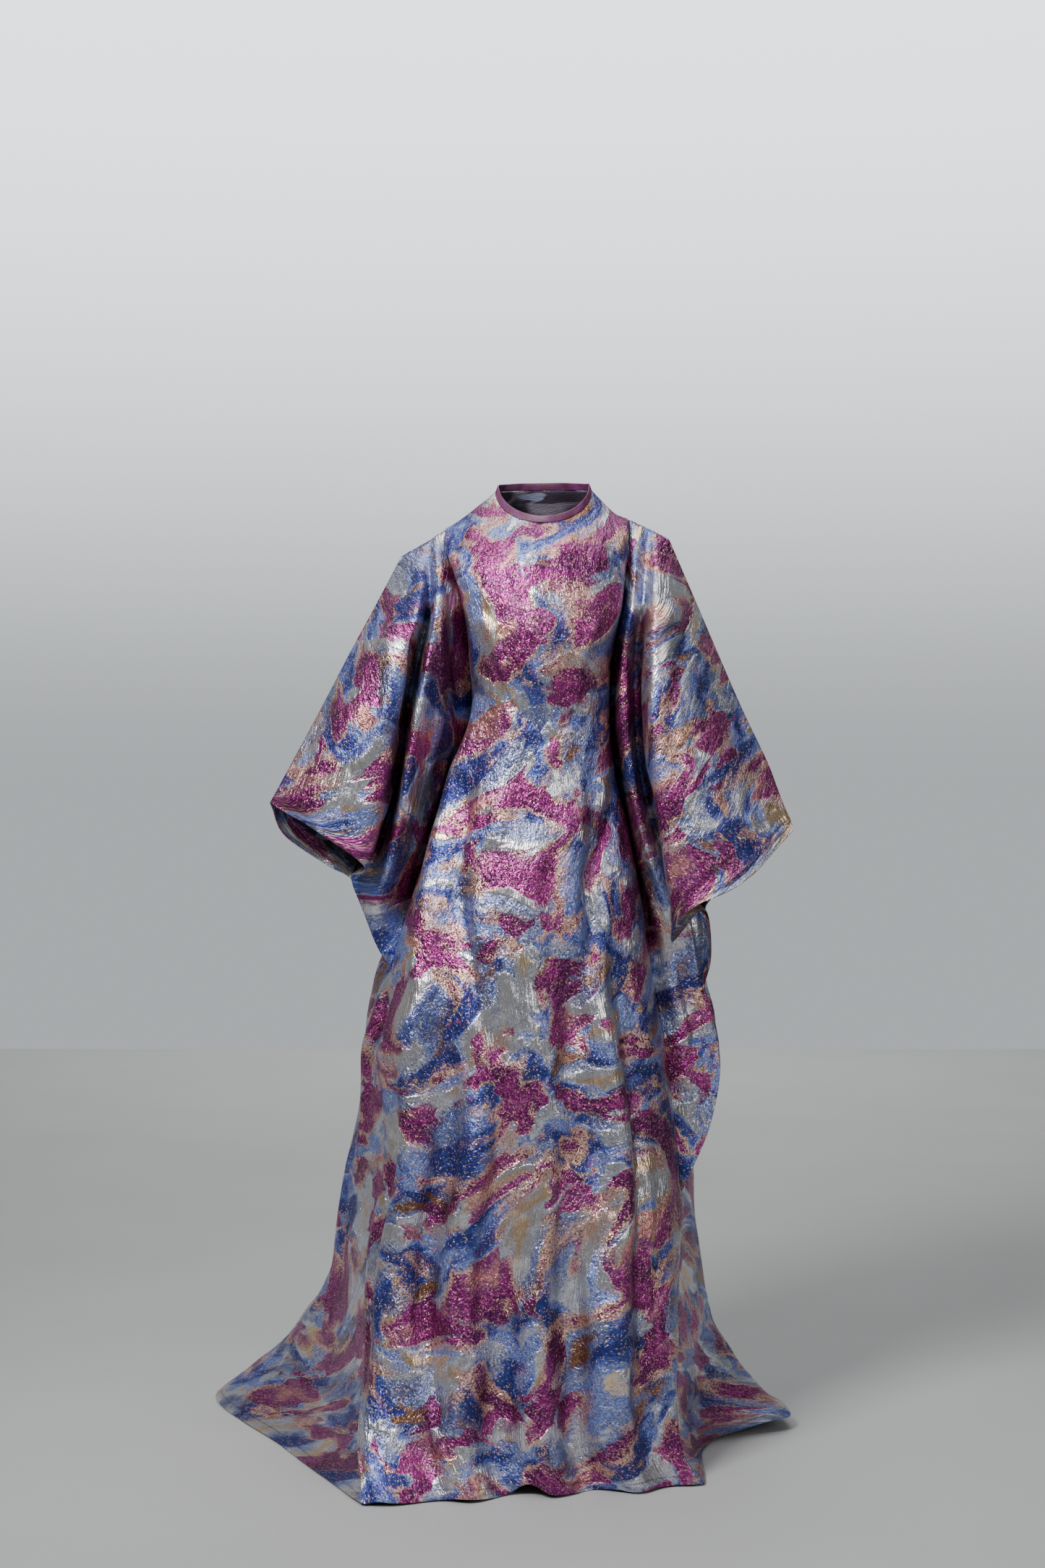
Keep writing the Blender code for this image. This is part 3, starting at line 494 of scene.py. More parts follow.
# Each panel: CAD nodes that it stands for, what carries it, its slot, width and length of its cut
# in metres, flat area in square metres
PANELS = {
    "front": (("front_upper", "front_lower"), "neck_binding", "brocade_front",
              (0.58, 1.61), 0.69),
    "back": (("back_upper", "back_lower"), "neck_binding", "brocade_back", (2.23, 1.67), 1.33),
    "left_sleeve_front": (("left_sleeve_front",), "front_cloth", "brocade_sleeve",
                          (0.38, 0.69), 0.168),
    "left_sleeve_back": (("left_sleeve_back",), "back_cloth", "brocade_sleeve",
                         (0.30, 0.69), 0.119),
    "right_sleeve_front": (("right_sleeve_front",), "front_cloth", "brocade_sleeve",
                           (0.40, 1.02), 0.216),
    "right_sleeve_back": (("right_sleeve_back_upper", "right_sleeve_back_lower"), "back_cloth",
                          "brocade_sleeve", (0.32, 1.02), 0.149),
}

# Marbling: its slant, and how noise pushes its edges about: scale per metre, reach in metres,
# detail
PATTERN_SLANT = math.radians(-28.0)
PATTERN_PUSHES = (
    (4.6, (0.15, 0.13, 0.0), 1.0),
    (15.0, (0.060, 0.050, 0.0), 2.0),
    (55.0, (0.018, 0.014, 0.0), 3.0),
)
SOFTNESS_SCALE = 16.0
# Ranges in the marbling: the noise or chance at which an answer is least and at which it is most,
# then those two answers where they aren't 0 and 1
RED_RANGE = (0.480, 0.440)
BLUE_RANGE = (0.486, 0.534)
PALE_RANGE = (0.475, 0.525)
SCATTER_RANGE = (0.40, 0.62, 0.014, 0.074)
VEIN_RANGE = (0.50, 0.66, 0.0, 0.010)
# The pink range sets the painted pink glint on the reds' brightest grains
PINK_GLINT_RANGE = (0.62, 0.84, 0.0, 0.42)
STREAK_RANGE = (0.062, 0.0, 0.0, 0.78)
RICH_RANGE = (0.44, 0.58)
# Champagne grains are partly gold lurex and partly painted glint; the dark grains below are painted
# shade
GOLD_AND_GLINT_RANGE = (0.88, 0.95, 0.0, 0.60)
SHADED_GRAIN_RANGE = (0.20, 0.08, 0.0, 0.45)
# Noise at which each line through the marbling lies, and a thread's share of a vein's width
VEIN_AT = 0.466
STREAK_AT = 0.468
THREAD_AT = 0.530
THREAD_SHARE = 0.4

# Least and most brightness of a grain, partly its own tone and partly painted glint, in the lurex
# and in the satin, how far each leans, and how much of the champagne grains' painted glint and of
# the painted shade grains the satin is spared
GRAIN_TONES_AND_GLINT = (0.66, 1.34)
SATIN_TONES_AND_GLINT = (0.88, 1.10)
GRAIN_LEAN = (0.22, 0.05)
SATIN_SPARED = 0.6

# Gloss of the lurex from its smoothest to its roughest grain, of the blue ground and of the satin,
# and how metallic the lurex and the blue ground are
LUREX_ROUGHNESS = (0.28, 0.44)
BLUE_ROUGHNESS = 0.42
SATIN_ROUGHNESS = 0.27
LUREX_METAL = 0.88
BLUE_METAL = 0.70

# Relief: scale per metre, and height in metres, in the lurex and then in the satin where they
# differ
CRINKLE_SCALE = 120.0
CRINKLE_HEIGHT = (0.0036, 0.0006)
CRINKLE_PUSH = (80.0, (0.010, 0.010, 0.0), 2.0)
WRINKLE_SCALE = 320.0
WRINKLE_HEIGHT = (0.0002, 0.0014)
SWELL_SCALE = 28.0
SWELL_HEIGHT = 0.006

# Stitching, in metres: half the line's width, half a stitch with its gap, the gap's two ends, and
# how deep it is pulled in
STITCH_HALF_WIDTH = 0.0011
STITCH_HALF_LENGTH = 0.0017
STITCH_GAP = (0.0002, 0.0006, 0.0, 0.5)
STITCH_DEPTH = 0.0006

CAMERA_PLACE = (-0.032, -3.28, -0.393)
CAMERA_LENS = 50.0
SENSOR_HEIGHT = 36.0
FARTHEST_SEEN = 60.0

# Lamps: name, place, the point that it faces, size in metres. Their powers are in KaftanStage.
LAMPS = (
    ("key", (-1.7, -2.4, 1.8), (0.0, 0.0, 0.0), 1.1),
    ("fill", (2.4, -2.6, 0.5), (0.0, 0.0, -0.65), 1.4),
    ("top", (0.0, 0.3, 2.6), (0.0, 0.0, -0.65), 2.6),
    ("back", (0.0, 4.6, 3.0), (0.0, 6.0, -1.4), 5.0),
)
LAMP_SPREAD = math.radians(110.0)
EVEN_SPREAD = math.radians(70.0)
EVEN_TILT = (math.radians(24.0), math.radians(-10.0), 0.0)

# Light of the room from the front and from behind, then of the wall that the camera sees, from
# the floor upwards
ROOM_RANGE = (0.25, 0.95, 0.10, 0.6)
WALL_RANGE = (0.0, 0.35, 0.80, 3.7)

HEX_LAMP = "#FFFAF4"
HEX_FLOOR_LIGHT = "#A5A9AC"


def linear(code):
    """An sRGB hex colour as linear red, green, blue and alpha."""
    parts = [int(code[place:place + 2], 16) / 255.0 for place in (1, 3, 5)]
    parts = [part / 12.92 if part <= 0.04045 else ((part + 0.055) / 1.055) ** 2.4 for part in parts]
    return (*parts, 1.0)


def unit(vectors):
    """The vectors, each made one long."""
    return vectors / np.maximum(np.linalg.norm(vectors, axis=-1, keepdims=True), TINY)


def smooth_step(value):
    """Nothing below 0, one above 1, and a smooth rise between."""
    t = np.clip(value, 0.0, 1.0)
    return t * t * (3.0 - 2.0 * t)


def smooth_through(keys, points, wanted):
    """Values at the wanted keys on a smooth line through the points.

    A cubic between neighbouring points, whose slope at each is the mean of the slopes on its
    two sides, each weighted by the other side's step.
    """
    keys = np.asarray(keys, dtype=float)
    points = np.asarray(points, dtype=float)
    steps = np.diff(keys)
    slopes = np.diff(points, axis=0) / steps[:, None]
    tangents = np.empty_like(points)
    tangents[0] = slopes[0]
    tangents[-1] = slopes[-1]
    before = steps[:-1, None]
    after = steps[1:, None]
    tangents[1:-1] = (slopes[:-1] * after + slopes[1:] * before) / (before + after)
    place = np.clip(np.searchsorted(keys, wanted, side="right") - 1, 0, len(keys) - 2)
    step = steps[place]
    t = ((wanted - keys[place]) / step)[:, None]
    step = step[:, None]
    return ((2 * t**3 - 3 * t**2 + 1) * points[place]
            + (t**3 - 2 * t**2 + t) * step * tangents[place]
            + (3 * t**2 - 2 * t**3) * points[place + 1]
            + (t**3 - t**2) * step * tangents[place + 1])


def levels_between(first, last):
    """Levels of the render's rows."""
    return np.linspace(first, last, int(last - first) * ROWS_PER_LEVEL + 1)


def line_at(table, levels):
    """A fold line or edge at each level: smooth_through down the table."""
    rows = np.array(table, dtype=float)
    return smooth_through(rows[:, 0], rows[:, 1:], levels)


def lines_at(table, levels):
    """Every fold line of a panel's table at each level."""
    keys = [row[0] for row in table]
    return [smooth_through(keys, [row[number + 1] for row in table], levels)
            for number in range(len(table[0]) - 1)]


def weave(lines, counts):
    """A grid of points, level by level, smooth across the fold lines.

    Across a level the key of each fold line is the running sum of the square roots of the
    distances between them, which keeps a smooth line from looping at a tight fold.
    """
    stack = np.stack(lines, axis=1)
    rows = []
    for points in stack:
        lengths = np.linalg.norm(np.diff(points, axis=0), axis=1)
        keys = np.concatenate([[0.0], np.cumsum(np.maximum(lengths, LEAST_STEP) ** 0.5)])
        wanted = [np.linspace(keys[n], keys[n + 1], count * COLUMNS_PER_STEP, endpoint=False)
                  for n, count in enumerate(counts)]
        rows.append(smooth_through(keys, points, np.concatenate(wanted + [keys[-1:]])))
    return np.array(rows)


def running_length(grid, axis):
    """Length walked down a grid's columns (axis 0) or along its rows (axis 1)."""
    steps = np.linalg.norm(np.diff(grid, axis=axis), axis=2)
    return np.insert(np.cumsum(steps, axis=axis), 0, 0.0, axis=axis)


def side_runs(grid):
    """Length of cloth from each point to the first and to the last column, along its row."""
    across = running_length(grid, 1)
    return across, across[:, -1:] - across


def hem_run(grid):
    """Length of cloth from each point to the foot of its column."""
    down = running_length(grid, 0)
    return down[-1] - down


def outwards(grid, facing):
    """Unit normals, each the mean of the cells that meet there, towards that side."""
    down = grid[1:, :-1] - grid[:-1, 1:]
    across = grid[1:, 1:] - grid[:-1, :-1]
    cell = unit(np.cross(across, down))
    normal = np.zeros_like(grid)
    normal[:-1, :-1] += cell
    normal[1:, :-1] += cell
    normal[:-1, 1:] += cell
    normal[1:, 1:] += cell
    normal = unit(normal)
    if np.mean(normal[..., 1]) * facing < 0.0:
        normal = -normal
    return normal


def front_panel_grid():
    """Front panel: between its edges the section is a sine arch, pushed out along the folds.

    Across goes from 0 to 1, and the place on the chord slides from even steps to the cosine
    of a half turn as the section gets rounder. Each fold adds a bell curve across.
    """
    levels = levels_between(LEVEL_NECK, LEVEL_HEM)
    left = line_at(LEFT_FRONT_LINE, levels)
    right = line_at(RIGHT_FRONT_LINE, levels)
    middle = line_at(FRONT_MIDDLE, levels)
    across = np.linspace(0.0, 1.0, FRONT_COLUMNS * COLUMNS_PER_STEP + 1)[None, :]
    roundness = middle[:, 2][:, None]
    bow = np.sin(np.pi * across)
    place = (1.0 - roundness) * across + roundness * (1.0 - np.cos(np.pi * across)) / 2.0
    grid = left[:, None, :] + (right - left)[:, None, :] * place[:, :, None]
    half_way = (left + right) / 2.0
    fullness = bow ** (FULLNESS[0] + FULLNESS[1] * roundness)
    grid[:, :, 1] += (middle[:, 0] - half_way[:, 1])[:, None] * fullness
    grid[:, :, 2] += (middle[:, 1] - half_way[:, 2])[:, None] * bow
    level = levels[:, None]
    flat = np.clip((level - HEM_FLAT_FROM) / HEM_FLAT_LEVELS, 0.0, 1.0)
    settled = 1.0 - HEM_FLATTENING * flat
    for top, foot, first, half, out in FRONT_FOLDS:
        down = np.clip((level - first) / (LEVEL_HEM - first), 0.0, 1.0)
        ridge = np.exp(-((place - (top + (foot - top) * down)) / half) ** 2)
        started = np.minimum(1.0, bow * FOLD_START)
        grid[:, :, 1] -= out * down ** FOLD_GROWTH * settled * ridge * started
    return grid


def back_edge(front_line, valley, last_level, levels):
    """Edge of the back panel: shoulder seam, then beside the sleeve, then the side seam."""
    edge = line_at(front_line, levels)
    beside = (levels >= LEVEL_SHOULDER) & (levels <= last_level)
    edge[beside] = line_at(valley, levels[beside])
    return edge


def back_panel_grid():
    """Back panel with its train, woven between its two edges."""
    levels = levels_between(LEVEL_NECK, LEVEL_HEM)
    left = back_edge(LEFT_FRONT_LINE, LEFT_BACK_VALLEY, LEVEL_LEFT_WING, levels)
    right = back_edge(RIGHT_FRONT_LINE, RIGHT_BACK_VALLEY, LEVEL_RIGHT_WING, levels)
    return weave([left] + lines_at(BACK_LINES, levels) + [right], BACK_COLUMNS)


def sleeve_grid(table, body_edge, counts, last_level):
    """One side of a sleeve, woven from its join with the body to the overarm edge."""
    levels = levels_between(LEVEL_SHOULDER, last_level)
    return weave([line_at(body_edge, levels)] + lines_at(table, levels), counts)


def match_wing_edges(front, back, front_count, back_count):
    """Give the back of the wing the front's lower edge, easing in over its last levels.

    The change grows with the square of the way down. At the body's edge only the foot moves.
    """
    share = np.linspace(0.0, 1.0, back_count + 1)
    source = np.linspace(0.0, 1.0, front_count + 1)
    edge = np.stack([np.interp(share, source, front[-1, :front_count + 1, axis])
                     for axis in range(3)], axis=1)
    change = edge - back[-1, :back_count + 1]
    rows = WING_EASE_LEVELS * ROWS_PER_LEVEL
    ease = np.linspace(0.0, 1.0, rows + 1)[1:, None, None] ** 2
    back[-1, 0] += change[0]
    back[-rows:, 1:back_count + 1] += change[None, 1:] * ease


def valley_depth(levels, last_level):
    """Extra depth of a valley down its length: a half sine from the shoulder to the wing's foot."""
    t = np.clip((levels - LEVEL_SHOULDER) / (last_level - LEVEL_SHOULDER), 0.0, 1.0)
    return VALLEY_DEPTH * np.sin(np.pi * t) ** VALLEY_SHAPE


def deepened(grid, distance, depth, reach):
    """The cloth pushed back along a valley line: the depth falls as a bell curve beside it."""
    deeper = grid.copy()
    deeper[..., 1] += depth[:, None] * np.exp(-(distance / reach) ** 2)
    return deeper


def lifted_hem(grid, place, half, rise, reach):
    """The hem off the floor: a bell curve across its place, and another up the cloth."""
    lifted = grid.copy()
    lifted[..., 2] += rise * np.exp(-((grid[..., 0] - place) / half) ** 2
                                    - (hem_run(grid) / reach) ** 2)
    return lifted


def pattern_coordinates(grid):
    """Where the woven pattern lies on a body panel, in millimetres.

    Across is the level distance walked along a row from the middle. Down is the cloth's length
    along the middle line, plus how far the point hangs below the middle of its row.
    """
    middle = grid.shape[1] // 2
    across = running_length(grid[..., :2], 1)
    down = running_length(grid[:, [middle]], 0)
    return np.stack([across - across[:, [middle]],
                     down + grid[:, [middle], 2] - grid[..., 2]], axis=2)


def sleeve_pattern(grid, body_pattern, body_edge, away):
    """The pattern carried on from the body's edge: level distance outwards, height downwards."""
    across = running_length(grid[..., :2], 1)
    return np.stack([body_pattern[:, [0]] + away * across,
                     body_pattern[:, [1]] + body_edge[:, [2]] - grid[..., 2]], axis=2)


def crease_height(cloth, creases, evenness):
    """Height of the soft creases and of the slow waves over the cloth.

    Along a crease's line the height fades at both ends as the root of a half sine, and across
    it falls as a bell curve of the crease's half width. The waves are a sum of products of
    sines across and down.
    """
    height = np.zeros(cloth.shape[:2])
    for across, down, end_across, end_down, bow, half, rise in creases:
        run = np.array([end_across - across, end_down - down], dtype=float)
        length = np.linalg.norm(run)
        run /= length
        away = cloth - np.array([across, down], dtype=float)
        t = np.clip((away @ run) / length, 0.0, 1.0)
        side = away @ np.array([-run[1], run[0]]) - bow * 4.0 * t * (1.0 - t)
        height += rise * np.sqrt(np.sin(np.pi * t)) * np.exp(-(side / half) ** 2)
    turn = 2.0 * math.pi * cloth
    for across, down, lean, rise in UNEVENNESS:
        height += evenness * rise * (np.sin(turn[..., 0] / across + lean)
                                     * np.sin(turn[..., 1] / down + 2.0 * lean))
    return height * bpy.context.scene.kaftan_sizes.crease_depth


def edge_fade(*held):
    """How freely a point may move: nothing at the held edges, all of it FREE_FROM away."""
    return smooth_step(np.minimum.reduce(held) / FREE_FROM)


def creased_panel(grid, facing, lift, pattern, from_seam, from_hem, along_hem):
    """A panel ready for its shell, with each point moved out of the cloth by its lift."""
    creased = grid + outwards(grid, facing) * lift[..., None]
    creased[..., 2] = np.maximum(creased[..., 2], FLOOR_CLEARANCE)
    return {"grid": creased, "normal": outwards(creased, facing), "pattern": pattern,
            "from_seam": from_seam, "from_hem": from_hem, "along_hem": along_hem}


def body_panel(grid, facing, creases):
    """A body panel: held at both side lines and at the neck, free at the hem."""
    to_left, to_right = side_runs(grid)
    from_neck = running_length(grid, 0)
    from_middle = to_left - to_left[:, [grid.shape[1] // 2]]
    lift = crease_height(np.stack([from_middle, from_neck], axis=2), creases, 1.0)
    lift *= edge_fade(to_left, to_right, from_neck)
    return creased_panel(grid, facing, lift, pattern_coordinates(grid),
                         np.minimum(to_left, to_right), hem_run(grid), from_middle)


def front_panel():
    """The front panel, with its two valleys and the arch in its hem."""
    grid = front_panel_grid()
    levels = levels_between(LEVEL_NECK, LEVEL_HEM)
    to_left, to_right = side_runs(grid)
    grid = deepened(grid, to_left, valley_depth(levels, LEVEL_LEFT_WING), VALLEY_REACH)
    grid = deepened(grid, to_right, valley_depth(levels, LEVEL_RIGHT_WING), VALLEY_REACH)
    return body_panel(lifted_hem(grid, *FRONT_HEM_ARCH), FACING["front"], FRONT_CREASES)


def back_panel():
    """The back panel and train, with the train's tip off the floor."""
    grid = lifted_hem(back_panel_grid(), *TRAIN_TIP_LIFT)
    return body_panel(grid, FACING["back"], BACK_CREASES)


def sleeve_panel(grid, facing, creases, wing_columns, pattern):
    """A sleeve panel: held at the body, overarm and wing seams, free at the cuff."""
    to_body, to_overarm = side_runs(grid)
    from_shoulder = running_length(grid, 0)
    from_foot = hem_run(grid)
    columns = np.arange(grid.shape[1])[None, :]
    past_wing = np.maximum(columns - wing_columns, 0)
    from_wing = from_foot + past_wing * WING_FADE
    from_hem = np.where(columns >= wing_columns, from_foot, from_foot + NOT_A_HEM)
    lift = crease_height(np.stack([to_body, from_shoulder], axis=2), creases, SLEEVE_EVENNESS)
    lift *= edge_fade(to_body, to_overarm, from_shoulder, from_wing)
    from_seam = np.minimum(np.minimum(to_body, to_overarm), from_wing)
    return creased_panel(grid, facing, lift, pattern, from_seam, from_hem, to_body)


def sleeve_pair(side):
    """Front and back of one sleeve, ready for their shells."""
    last, wing_lines, body_column, away = WINGS[side]
    tables = SLEEVES[side]
    front, back = (sleeve_grid(table, edge, counts, last) for table, edge, counts, _ in tables)
    wing = [sum(counts[:wing_lines]) * COLUMNS_PER_STEP for _, _, counts, _ in tables]
    depth = valley_depth(levels_between(LEVEL_SHOULDER, last), last)
    across = running_length(front, 1)
    front = deepened(front, across, depth, VALLEY_REACH)
    front = deepened(front, across - across[:, [wing[0]]], depth * SECOND_VALLEY,
                     VALLEY_REACH * SECOND_REACH)
    match_wing_edges(front, back, *wing)
    beside = slice(LEVEL_SHOULDER * ROWS_PER_LEVEL, last * ROWS_PER_LEVEL + 1)
    pair = []
    for grid, body, facing, columns, (_, _, _, creases) in zip(
            (front, back), (front_panel_grid(), back_panel_grid()), FACING.values(), wing, tables):
        body_pattern = pattern_coordinates(body)[beside, body_column]
        pattern = sleeve_pattern(grid, body_pattern, body[beside, body_column], away)
        pair.append(sleeve_panel(grid, facing, creases, columns, pattern))
    return pair


def neck_edge():
    """Loop of the neckline, the binding's way up at each point, and the length round it.

    The way up is the panels' lean mixed with straight up. It is evened out round the loop, and
    so is the loop itself.
    """
    front = front_panel_grid()
    back = back_panel_grid()
    loops = [np.concatenate([front[row], back[row][::-1][1:-1]]) for row in (0, ROWS_PER_LEVEL)]
    steps = np.linalg.norm(np.roll(loops[0], -1, axis=0) - loops[0], axis=1)
    run = np.concatenate([[0.0], np.cumsum(steps)])
    wanted = np.linspace(0.0, run[-1], NECK_STEPS, endpoint=False)
    ring, lower = (np.stack([np.interp(wanted, run, np.append(loop[:, axis], loop[0, axis]))
                             for axis in range(3)], axis=1) for loop in loops)
    rise = unit(ring - lower) * NECK_RISE + np.array([0.0, 0.0, 1.0 - NECK_RISE])
    for _ in range(BINDING_SMOOTHING):
        rise = (rise + np.roll(rise, 1, axis=0) + np.roll(rise, -1, axis=0)) / 3.0
        ring = (ring * 2.0 + np.roll(ring, 1, axis=0) + np.roll(ring, -1, axis=0)) / 4.0
    return ring, unit(rise), wanted


def neck_band(looks):
    """A soft round-edged band: a squared oval section carried along the neck edge."""
    ring, rise, run = neck_edge()
    side = unit(np.cross(np.roll(ring, -1, axis=0) - np.roll(ring, 1, axis=0), rise))
    side *= np.sign(np.sum(side * (ring - ring.mean(axis=0)), axis=1))[:, None]
    turn = np.linspace(0.0, 2.0 * math.pi, BINDING_POINTS, endpoint=False)
    cosine, sine = np.cos(turn), np.sin(turn)
    across = np.sign(cosine) * np.abs(cosine) ** BINDING_CORNERS[0] * BINDING_HALF_WALL
    up = (np.sign(sine) * np.abs(sine) ** BINDING_CORNERS[1] + 1.0) / 2.0 * BINDING_HEIGHT
    ripple = sum(high * np.sin(run / wave + lean) for high, wave, lean in BINDING_RIPPLES)
    points = (ring[:, None] + side[:, None] * (across[None, :] + ripple[:, None])[..., None]
              - side[:, None] * BINDING_SETBACK + rise[:, None] * (up + BINDING_GAP)[None, :, None])
    rows, columns = points.shape[:2]
    row = np.arange(rows)[:, None] * columns
    next_row = np.roll(row, -1, axis=0)
    column = np.arange(columns)[None, :]
    next_column = np.roll(column, -1, axis=1)
    faces = np.stack([row + column, next_row + column, next_row + next_column, row + next_column],
                     axis=2).reshape(-1, 4)
    flat = points.reshape(-1, 3)
    hub = np.repeat(points.mean(axis=1), columns, axis=0)
    faces = facing_along(faces, flat, faces, (flat - hub)[faces[:, 0]])
    pattern = np.stack([np.repeat(run, columns), np.tile(up, rows)], axis=1) * MM
    piece = make_object("neck_band", to_metres(flat), faces, np.zeros(len(faces)),
                        {"cloth": pattern},
                        [material_of("polyester_satin_binding", satin_binding, looks)])
    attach(piece, BODY)
    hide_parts("neck_binding")
    return piece


def to_metres(points):
    """Table millimetres to metres about the mount."""
    moved = np.array(points, dtype=float)
    moved[..., 0] -= WEARER_X
    moved[..., 2] -= MOUNT_HEIGHT
    return moved * MM


def facing_along(faces, points, tested, wanted):
    """The faces, turned over if the tested ones point against the wanted directions."""
    corners = points[tested]
    turn = np.cross(corners[:, 1] - corners[:, 0], corners[:, 3] - corners[:, 0])
    return faces[:, ::-1] if np.sum(turn * wanted) < 0.0 else faces


def quads(rows, columns, start=0):
    """Four corners of each cell of a grid of points."""
    corner = (np.arange(rows - 1)[:, None] * columns + np.arange(columns - 1)[None, :]).ravel()
    corner = corner + start
    return np.stack([corner, corner + columns, corner + columns + 1, corner + 1], axis=1)


def boundary_of(rows, columns):
    """Points round the edge of a grid, and the point inside each."""
    left = np.arange(rows) * columns
    foot = (rows - 1) * columns + np.arange(1, columns)
    right = (np.arange(rows - 2, -1, -1) * columns) + columns - 1
    top = np.arange(columns - 2, 0, -1)
    edge = np.concatenate([left, foot, right, top])
    inside = np.concatenate([left + 1, foot - columns, right - 1, top + columns])
    return edge, inside


def wall_of(panel, sizes):
    """Wall at each point: next to nothing at a seam, and thicker by the turned cloth at a hem."""
    wall = sizes.cloth_wall / MM
    opened = smooth_step(panel["from_seam"] / SEAM_TAPER)
    turned = 1.0 - smooth_step((panel["from_hem"] - sizes.turned_hem / MM) / TURN_STEP)
    return wall * opened * (1.0 + turned * TURN_SHARE) + SEAM_WALL


def shell_points(outside, normal, wall, edge, within):
    """The outside, the same points moved inwards by the wall, and the middle of a round rim."""
    outer = outside.reshape(-1, 3)
    inner = (outside - normal * wall[..., None]).reshape(-1, 3)
    rim = (outer[edge] + inner[edge]) / 2.0
    rim += unit(outer[edge] - outer[within]) * wall.ravel()[edge][:, None] / 2.0
    points = np.concatenate([outer, inner, rim])
    points[:, 2] = np.maximum(points[:, 2], FLOOR_CLEARANCE)
    return points


def shell_faces(rows, columns, edge):
    """Faces of the outside, of the inside, and of the rim between them."""
    count = rows * columns
    following = np.roll(edge, -1)
    rim = 2 * count + np.arange(len(edge))
    next_rim = np.roll(rim, -1)
    to_outside = np.stack([edge, rim, next_rim, following], axis=1)
    to_inside = np.stack([rim, edge + count, following + count, next_rim], axis=1)
    return (quads(rows, columns), quads(rows, columns, count)[:, ::-1],
            np.concatenate([to_outside, to_inside]))


def make_object(name, points, faces, kinds, maps, materials):
    """One mesh object from arrays: points, faces, a material number a face, and UV maps."""
    mesh = bpy.data.meshes.new(name)
    mesh.from_pydata(points.tolist(), [], faces.tolist())
    for map_name, values in maps.items():
        layer = mesh.uv_layers.new(name=map_name)
        layer.data.foreach_set("uv", values[faces.ravel()].astype(np.float32).ravel())
    for material in materials:
        mesh.materials.append(material)
    mesh.polygons.foreach_set("material_index", kinds.astype(np.int32))
    mesh.polygons.foreach_set("use_smooth", np.ones(len(faces), dtype=bool))
    mesh.update()
    mesh.set_sharp_from_angle(angle=SHARP_ANGLE)
    piece = bpy.data.objects.new(name, mesh)
    bpy.context.scene.collection.objects.link(piece)
    return piece


def cloth_panel(name, panel, scene):
    """A panel's shell, with its right side outside and on the turned hem, its wrong side within."""
    sizes = scene.kaftan_sizes
    looks = scene.kaftan_looks
    outside = panel["grid"]
    rows, columns = outside.shape[:2]
    edge, within = boundary_of(rows, columns)
    points = shell_points(outside, panel["normal"], wall_of(panel, sizes), edge, within)
    outer, inner, rim = shell_faces(rows, columns, edge)
    faces = facing_along(np.concatenate([outer, inner, rim]), points, outer,
                         panel["normal"].reshape(-1, 3)[outer[:, 0]])
    from_hem = panel["from_hem"].ravel()
    is_turned = from_hem[outer].mean(axis=1) < sizes.turned_hem / MM
    kinds = np.concatenate([np.zeros(len(outer)), np.where(is_turned, 0, 1), np.zeros(len(rim))])
    hem = np.stack([panel["along_hem"].ravel(), from_hem], axis=1)
    maps = {key: np.concatenate([values, values, values[edge]]) * MM
            for key, values in (("cloth", panel["pattern"].reshape(-1, 2)), ("hem", hem))}
    piece = make_object(name + "_cloth", to_metres(points), faces, kinds, maps,
                        [material_of("marbled_lame_brocade", brocade_right_side, looks),
                         material_of("brocade_wrong_side", brocade_wrong_side, looks)])
    nodes, carrier, finish, cut, area = PANELS[name]
    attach(piece, BODY)
    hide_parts(*nodes)
    return piece


def add_node(tree, kind, inputs=(), output=0, stops=(), **settings):
    """Add one node with its settings, its inputs by name or in order, and a ramp's stops.

    An input is a number, a colour or the socket to join. The output asked for comes back.
    """
    node = tree.nodes.new("ShaderNode" + kind)
    for key, value in settings.items():
        setattr(node, key, value)
    set_inputs(node, inputs)
    while len(stops) > len(node.color_ramp.elements if stops else ()):
        node.color_ramp.elements.new(1.0)
    for number, (place, colour) in enumerate(stops):
        node.color_ramp.elements[number].position = place
        node.color_ramp.elements[number].color = colour
    return node.outputs[output]


def set_inputs(node, inputs):
    """Set each of a node's inputs to a value, or join it to a socket."""
    pairs = inputs.items() if isinstance(inputs, dict) else enumerate(inputs)
    for key, value in pairs:
        if isinstance(value, bpy.types.NodeSocket):
            node.id_data.links.new(value, node.inputs[key])
        else:
            node.inputs[key].default_value = value


def pushed(tree, place, scale, reach, detail):
    """Coordinates pushed about by noise, by up to the reach."""
    push = add_node(tree, "TexNoise", {"Vector": place, "Scale": scale, "Detail": detail},
                    "Color", noise_dimensions="2D")
    return add_node(tree, "VectorMath", (push, reach, place), operation="MULTIPLY_ADD")


def material_of(name, finish, looks):
    """The material of that name, made when it is first asked for."""
    material = bpy.data.materials.get(name)
    if material is None:
        material = bpy.data.materials.new(name)
        material.use_nodes = True
        tree = material.node_tree
        set_inputs(tree.nodes["Principled BSDF"], finish(tree, looks))
    return material


